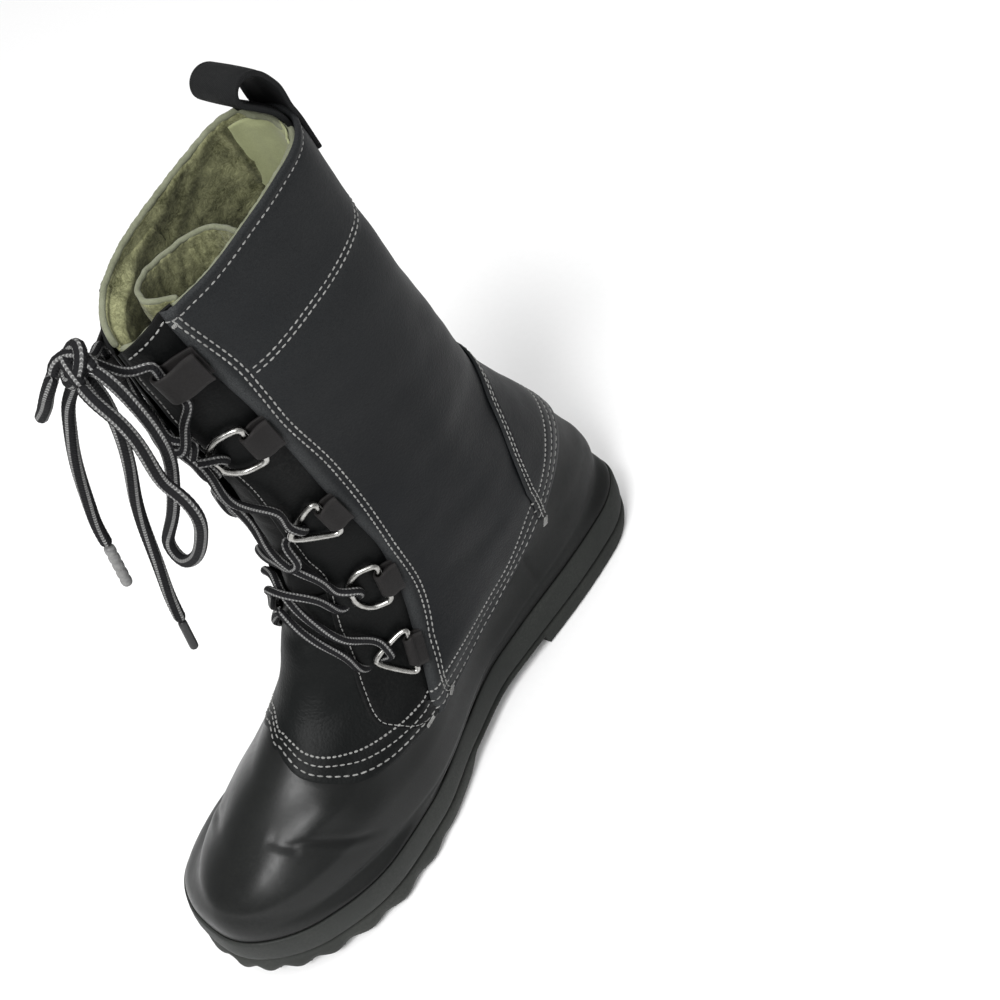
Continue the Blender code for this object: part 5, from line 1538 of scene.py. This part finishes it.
# ---- laces through the rings
LACE_ON_BOOT = 1.8
WAYS = {
    # each half of the lace between its rings: girth (+ medial), height, lift off the leather
    1: (((0.0, 129.0, 3.4), (-0.055, 122.5, 0.8), (-0.12, 113.5, 0.2), (-0.185, 103, 0.9)),
        ((-0.190, 110, 1.0), (-0.125, 121, 0.4), (-0.066, 132, 1.2), (0.0, 141, 5.0), (0.06, 142, 6.0),
         (0.14, 135, 3.6)),
        ((0.165, 144, 3.6), (0.110, 154.5, 3.2), (0.066, 172, 2.6), (0.066, 188, 2.6), (0.01, 196, 0.8),
         (-0.10, 190, 0.2)),
        ((-0.13, 196, 0.4), (-0.08, 210, -0.4), (-0.02, 222, 0.8), (0.045, 230, 3.0), (0.078, 225, 3.2),
         (0.093, 216, 3.2)),
        ((0.10, 234, 3.6), (0.04, 235, 2.8), (-0.04, 240, 0.6), (-0.10, 246, 1.0))),
    -1: (((0.0, 129.0, 3.4), (0.055, 122.5, 3.4), (0.12, 113.5, 3.4), (0.185, 103, 3.4)),
         ((0.185, 111.5, 3.4), (0.125, 121.5, 3.4), (0.066, 131.5, 3.0), (0.0, 138.5, 0.6), (-0.07, 139, -1.6),
          (-0.14, 135, 0.4)),
         ((-0.16, 144, 0.4), (-0.10, 147, -1.6), (-0.02, 150, -2.4), (0.05, 152.5, -0.6), (0.10, 155, 3.0),
          (0.135, 160.5, 4.6)),
         ((0.168, 189, 4.4), (0.139, 194.5, 5.0), (0.098, 204, 7.2), (0.096, 216, 7.4), (0.092, 226, 6.6),
          (0.055, 231, 4.4), (-0.01, 232, 1.4), (-0.10, 230, 0.8)),
         ((-0.10, 240, 2.2), (-0.03, 238, 3.6), (0.03, 234, 6.2), (0.078, 234.5, 6.8), (0.110, 241, 5.6),
          (0.134, 247, 4.4))),
}


def at_ring(side, number, forward, along, out):
    """A point by the ring's tip: forward past the tip, up the boot, and out from the ring's plane."""
    centre, away, up, n, reach = ring_seats[(side, number)]
    return centre + away * (reach + forward) + up * along + n * out


def turn_round(side, number):
    """The lace comes in under the wire from below, turns tightly over it and leaves upwards."""
    near = 1.0 if side > 0 else 0.7
    if LEVELS[number][4]:
        turn = ((3.6, -2.4, -2.2), (0.9, -2.2, -3.3), (-2.6, -1.4, -2.9), (-5.6, -0.2, -1.2), (-6.6, 2.4, 2.0),
                (-5.8, 5.4, 3.5), (-4.4, 8.2, 3.1))
    else:
        turn = ((4.2, -6.0, -2.0), (0.9, -5.0, -3.3), (-2.4, -3.2, -2.3), (-3.4, 0.2, 0.2), (-2.4, 4.0, 2.6),
                (0.9, 6.0, 3.4), (4.2, 7.2, 2.4))
    return [at_ring(side, number, f, along, out * near) for f, along, out in turn]


def lace_run(name, route, nodes):
    path = evenly(route, int(run_length(evenly(route, 300)) / 0.6))
    thing = braided(path, LACE_ON_BOOT, 20, (0.3, -0.9, 0.2), turns=3.0, relief=0.09, ends=0.5)
    finish_piece(thing, name, LACE_BRAID, "lace_cloth", *nodes)


def keeper_mouth(side, way, beyond):
    origin, _, up, n, _ = seat_frame(side * TOP_LOOP[1], TOP_LOOP[0], LACE + 1.4, 11.6)
    return origin + n * KEEPER_HEIGHT + up * way * (6.0 + beyond)


def build_laces():
    for side in (1, -1):
        route = []
        here = -side
        for number, way in enumerate(WAYS[side]):
            route += [off_last(u, z, lift) for u, z, lift in way]
            if number < 4:
                route += turn_round(here, number)
                here = -here
        route += [keeper_mouth(here, -1, 3.0), keeper_mouth(here, -1, 0.3), keeper_mouth(here, 0, -6.0),
                  keeper_mouth(here, 1, 0.3), keeper_mouth(here, 1, 4.0)]
        if here < 0:
            route += [(-9.5, -48.5, 273.5), (-3.0, -54.3, 278.3), (1.0, -57.5, 282.5)]
            nodes = ["lace_cross_a", "lace_cross_c", "lace_bar"]
        else:
            route += [(10.5, -48.5, 273.0), (5.0, -54.3, 277.8), (2.5, -57.5, 283.0)]
            nodes = ["lace_cross_b", "lace_cross_d", "lace_top"]
        lace_run("lace_through_rings_" + ("first" if side > 0 else "second"), route, nodes)


BIGHTS = (
    ((9.5, -66.0, 282.0), (6.0, -65.0, 285.5), (1.5, -63.0, 287.5), (-2.0, -60.5, 286.5), (-4.5, -58.5, 284.0)),
    ((11.0, -60.5, 284.5), (7.0, -59.5, 287.0), (2.5, -60.5, 288.2), (-1.5, -64.0, 287.2), (-3.5, -67.0, 283.2)),
    ((1.0, -57.5, 282.5), (3.0, -58.5, 285.5), (4.5, -62.0, 285.8), (5.0, -61.8, 281.0)),
    ((2.5, -57.5, 283.0), (1.0, -59.0, 286.0), (-0.8, -62.0, 285.0), (-0.5, -61.5, 280.5)),
)


def build_knot():
    """The bow's knot: a wrap of lace round the crossing ends, with the bights showing either side."""
    a = np.linspace(0, 2 * math.pi, 17)
    wrap = KNOT_CENTRE + np.stack([0.5 + 4.6 * np.cos(a), -0.6 + 4.4 * np.sin(a) * 0.9,
                                   0.3 + 4.6 * np.sin(a) + 1.6 * np.cos(a)], axis=1)
    wrap[-1] = wrap[0]
    up = (0.1, 0.2, 1.0)
    parts = [braided(evenly(wrap, 60)[:-1], 2.2, 20, up, closed=True, relief=0.09)]
    parts += [braided(evenly(route, 40), LACE, 20, up, relief=0.09, ends=0.6) for route in BIGHTS]
    finish_piece(join(parts), "lace_bow_knot", LACE_BRAID, "lace_cloth", "lace_knot")


build_laces()
build_knot()

# ---- stitching
def stitch_template(sides=6, rings=5):
    """One stitch: a small sphere primitive drawn out along X, flattened and dipped at both ends."""
    pick()
    bpy.ops.mesh.primitive_uv_sphere_add(segments=sides, ring_count=rings, radius=1.0)
    thing = bpy.context.object
    spots = np.array([v.co for v in thing.data.vertices])[:, [2, 1, 0]]
    faces = sorted(list(p.vertices)[::-1] for p in thing.data.polygons)   # the primitive's own order varies
    bpy.data.objects.remove(thing, do_unlink=True)
    spots[:, 0] = np.sign(spots[:, 0]) * np.abs(spots[:, 0]) ** 0.7
    return spots, faces


STITCH_SPOTS, STITCH_FACES = stitch_template()


def sew(name, rows):
    """Stitches along each row: rows hold (points, normals, pitch, share sewn, thickness)."""
    spots = []
    faces = []
    for line, normals, pitch, sewn, thick in rows:
        far = run_so_far(line)
        count = max(int(far[-1] / pitch), 1)
        for k in range(count):
            a = (k + 0.5) * far[-1] / count
            half = 0.5 * sewn * far[-1] / count
            ends = np.array([[np.interp(a + s * half, far, line[:, i]) for i in range(3)] for s in (-1, 0, 1)])
            n = np.array([np.interp(a, far, normals[:, i]) for i in range(3)])
            run = ends[2] - ends[0]
            length = np.linalg.norm(run)
            if length < 0.2:
                continue
            run /= length
            run = run + rng.normal(0, 0.03, 3)
            n = n - run * np.dot(n, run) / np.dot(run, run)
            n /= np.linalg.norm(n)
            side = np.cross(n, run)
            size = thick * rng.uniform(0.93, 1.07)
            local = STITCH_SPOTS * np.array((length / 2, size, size * 0.85))
            local[:, 2] -= 0.25 * (STITCH_SPOTS[:, 0] ** 2) * size
            base = len(spots) * len(STITCH_SPOTS)
            spots.append(ends[1] + local[:, :1] * run + local[:, 1:2] * side + local[:, 2:] * n + n * 0.10)
            faces += [[base + i for i in f] for f in STITCH_FACES]
    mesh = bpy.data.meshes.new(name)
    mesh.from_pydata((np.concatenate(spots) * MM).tolist(), [], faces)
    mesh.shade_smooth()
    thing = bpy.data.objects.new(name, mesh)
    bpy.context.scene.collection.objects.link(thing)
    finish_piece(thing, name, THREAD, "stitch_thread")


def seam_row(u, z, offset, pitch=3.0, sewn=0.74, thick=0.37):
    """A row of stitching along girths and heights on the last, as sew() takes it."""
    return off_last(u, z, offset), last_normal(u, z), pitch, sewn, thick


def sew_all():
    for side, where in SIDES:
        z = np.linspace(56.0, 285.0, 220)
        z = z[z < collar(side * facing_seam(z)) - 3.0]
        a = facing_seam(z)
        girths = [(a + shift / girth_step(a, z) / FACING_LEAN) * side for shift in FACING_ROWS]
        sew("facing_stitches_" + where, [seam_row(u, z, shaft_relief(u, z), 2.9, 0.76) for u in girths])
        u = np.linspace(0.335, 0.995, 150) * side
        heights = [cuff_seam(np.abs(u)) + row for row in CUFF_ROWS]
        sew("cuff_stitches_" + where, [seam_row(u, z, shaft_relief(u, z), 3.0, 0.72) for z in heights])
        z = np.linspace(57.5, 283.0, 240)
        a = throat_edge(z)
        a = a + THROAT_ROW / girth_step(a, z)
        keep = (z < collar(a * side) - 5.5) & (a < facing_edge(z))
        u, z = a[keep] * side, z[keep]
        sew("eyestay_stitches_" + where, [seam_row(u, z, eyestay_face(u, z) - 0.05, 2.5, 0.82, 0.26)])
        # the counter's two rows follow its folded edge
        u = np.linspace(COUNTER_CORNER + 0.004, 0.995, 120)
        line = np.concatenate([[(counter_front(h), h) for h in np.linspace(73, 96, 20)],
                               np.stack([u, counter_top(u)], axis=1)])
        u, z = line[:, 0] * side, line[:, 1]
        spots, n = on_last(u, z), last_normal(u, z)
        inwards = np.cross(unit(np.gradient(spots, axis=0)), n)
        if inwards[-10, 2] > 0:
            inwards = -inwards
        sew("counter_stitches_" + where,
            [(spots + inwards * deep + n * 1.45, n, 2.7, 0.76, 0.33) for deep in COUNTER_ROWS])
    a = np.concatenate([np.linspace(0.06, 1.0, 160), np.linspace(-1.0, -0.06, 160)[1:]])
    z = collar(a) - COLLAR_ROW
    offset = np.where(np.abs(a) > facing_edge(z), shaft_relief(a, z), eyestay_face(a, z))
    sew("collar_stitches", [seam_row(a, z, offset, 2.8, 0.74)])
    rows = []
    a = np.linspace(-1, 1, 700)
    b = np.abs(a)
    for i in range(3):
        z = row_height(i, a)
        offset = np.where(b < throat_edge(z), vamp_face(a, z), np.where(b < facing_edge(z), eyestay_face(a, z),
                                                                       shaft_relief(a, z)))
        behind = (b > counter_front(z)) & (z < counter_top(np.maximum(b, COUNTER_CORNER)))
        offset = np.where(behind, counter_face(a, z)[0], offset)
        pitch, thick = ((3.6, 0.42), (3.0, 0.36), (2.3, 0.50))[i]
        rows.append(seam_row(a, z, offset, pitch, 0.74, thick))
    sew("lower_edge_stitches", rows)


TACK_PITCH = 0.62


def bartack(u, z, lean, length, width, offset):
    """A dense bar of thread laid across a seam's end."""
    centre = off_last(u, z, offset)
    n = last_normal(u, z)
    run = off_last(u + NUDGE, z, offset) - centre
    run = unit(run - n * np.dot(run, n))
    rise = np.cross(n, run)
    way = run * math.cos(lean) + rise * math.sin(lean)
    across = np.cross(n, way)
    rows = []
    count = int(length / TACK_PITCH)
    for k in range(count):
        at = centre + way * (k - count / 2) * TACK_PITCH
        wide = width * rng.uniform(0.85, 1.1)
        line = np.array([at - across * wide / 2, at, at + across * wide / 2])
        rows.append((line, np.array([n, n, n]), wide, 0.98, 0.32))
    for shift in (-0.3, 0.3):
        line = np.array([centre + way * end * length / 2 + across * shift * width for end in (-1, 1)])
        rows.append((line - n * 0.1, np.array([n, n]), 2.0, 0.95, 0.3))
    return rows


def sew_bartacks():
    for side, where in SIDES:
        rows = bartack(side * 0.455, 55.5, 0.6 * side, 4.5, 3.2, 0.5)
        rows += bartack(side * 0.408, 57.0, 0.1 * side, 6.0, 2.6, 0.3)
        rows += bartack(side * 0.662, 71.0, 1.2 * side, 4.5, 4.2, 2.0)
        rows += bartack(side * 0.268, 280.5, 0.3 * side, 4.0, 1.6, 0.3)
        sew("bar_tacks_" + where, rows)


sew_all()
sew_bartacks()

# ---- lace ends take their finish
def build_tip(name, node, ends, radius, material, slot, crimps):
    """A wrapped lace tip: it narrows at both ends, and a hard one shows its crimps."""
    path = evenly(ends, 40)
    thing = swept_tube(path, radius, 20, ends=0.72)
    root = Vector(path[0]) * MM
    run = Vector(path[-1]) * MM - root
    with reworked(thing) as work:
        for v in work.verts:
            far = (v.co - root).dot(run) / run.length_squared
            squeeze = sum(math.exp(-((far - c) / 0.035) ** 2) for c in crimps)
            v.co = (root + run * far).lerp(v.co, 1 - 0.16 * min(squeeze, 1.0))
    return finish_piece(thing, name, material, slot, node)


tips = {
    "lace_tail_lateral": build_tip("lace_tip_grey", "aglet_lateral", AGLET_LATERAL, 2.2, TIP_GREY, "aglet_grey",
                                   (0.2, 0.4, 0.6, 0.8)),
    "lace_tail_medial": build_tip("lace_tip_dark", "aglet_medial", AGLET_MEDIAL, 1.75, TIP_DARK, "aglet_dark", ()),
}
for name, _, _, far_end in FREE_ENDS:
    thing, path = free_laces[name]
    finish_piece(thing, "braided_" + name, LACE_BRAID, "lace_cloth", name)

# ---- floor and light
def lamp(name, place, aim, size, power):
    data = bpy.data.lights.new(name, "AREA")
    data.size = size
    data.energy = power
    thing = bpy.data.objects.new(name, data)
    way = Vector(aim) - Vector(place)
    thing.matrix_world = Matrix.Translation(Vector(place)) @ way.to_track_quat("-Z", "Y").to_matrix().to_4x4()
    bpy.context.scene.collection.objects.link(thing)


def build_floor():
    pick()
    bpy.ops.mesh.primitive_plane_add(size=8.0, location=(0, 0, -0.0006))
    floor = bpy.context.object
    floor.name = "studio_floor"
    material, tree, shader, place = blank("studio floor")
    paper = noise(tree, place, 300.0, 3.0)
    tone = blend_colours(tree, paper, (0.93, 0.93, 0.93), (0.96, 0.96, 0.96))
    feed(tree, shader, Base_Color=tone, Roughness=0.9, Specular_IOR_Level=0.1)
    floor.data.materials.append(material)


build_floor()
lamp("key", (0.52, -1.02, 1.5), (0.0, -0.08, 0.07), 0.48, 27.0)
lamp("top", (-0.3, 0.2, 2.4), (0.0, 0.0, 0.1), 3.0, 27.0)
lamp("side", (1.35, -0.30, 0.70), (0.0, -0.06, 0.08), 0.5, 0.4)
lamp("low key", (0.88, -0.87, 0.94), (0.0, -0.09, 0.06), 0.34, 3.0)
bpy.context.scene.view_settings.view_transform = "Standard"
world = bpy.data.worlds.new("studio air")
world.use_nodes = True
world.node_tree.nodes["Background"].inputs["Color"].default_value = (1.0, 1.0, 1.0, 1.0)
world.node_tree.nodes["Background"].inputs["Strength"].default_value = 0.45
bpy.context.scene.world = world
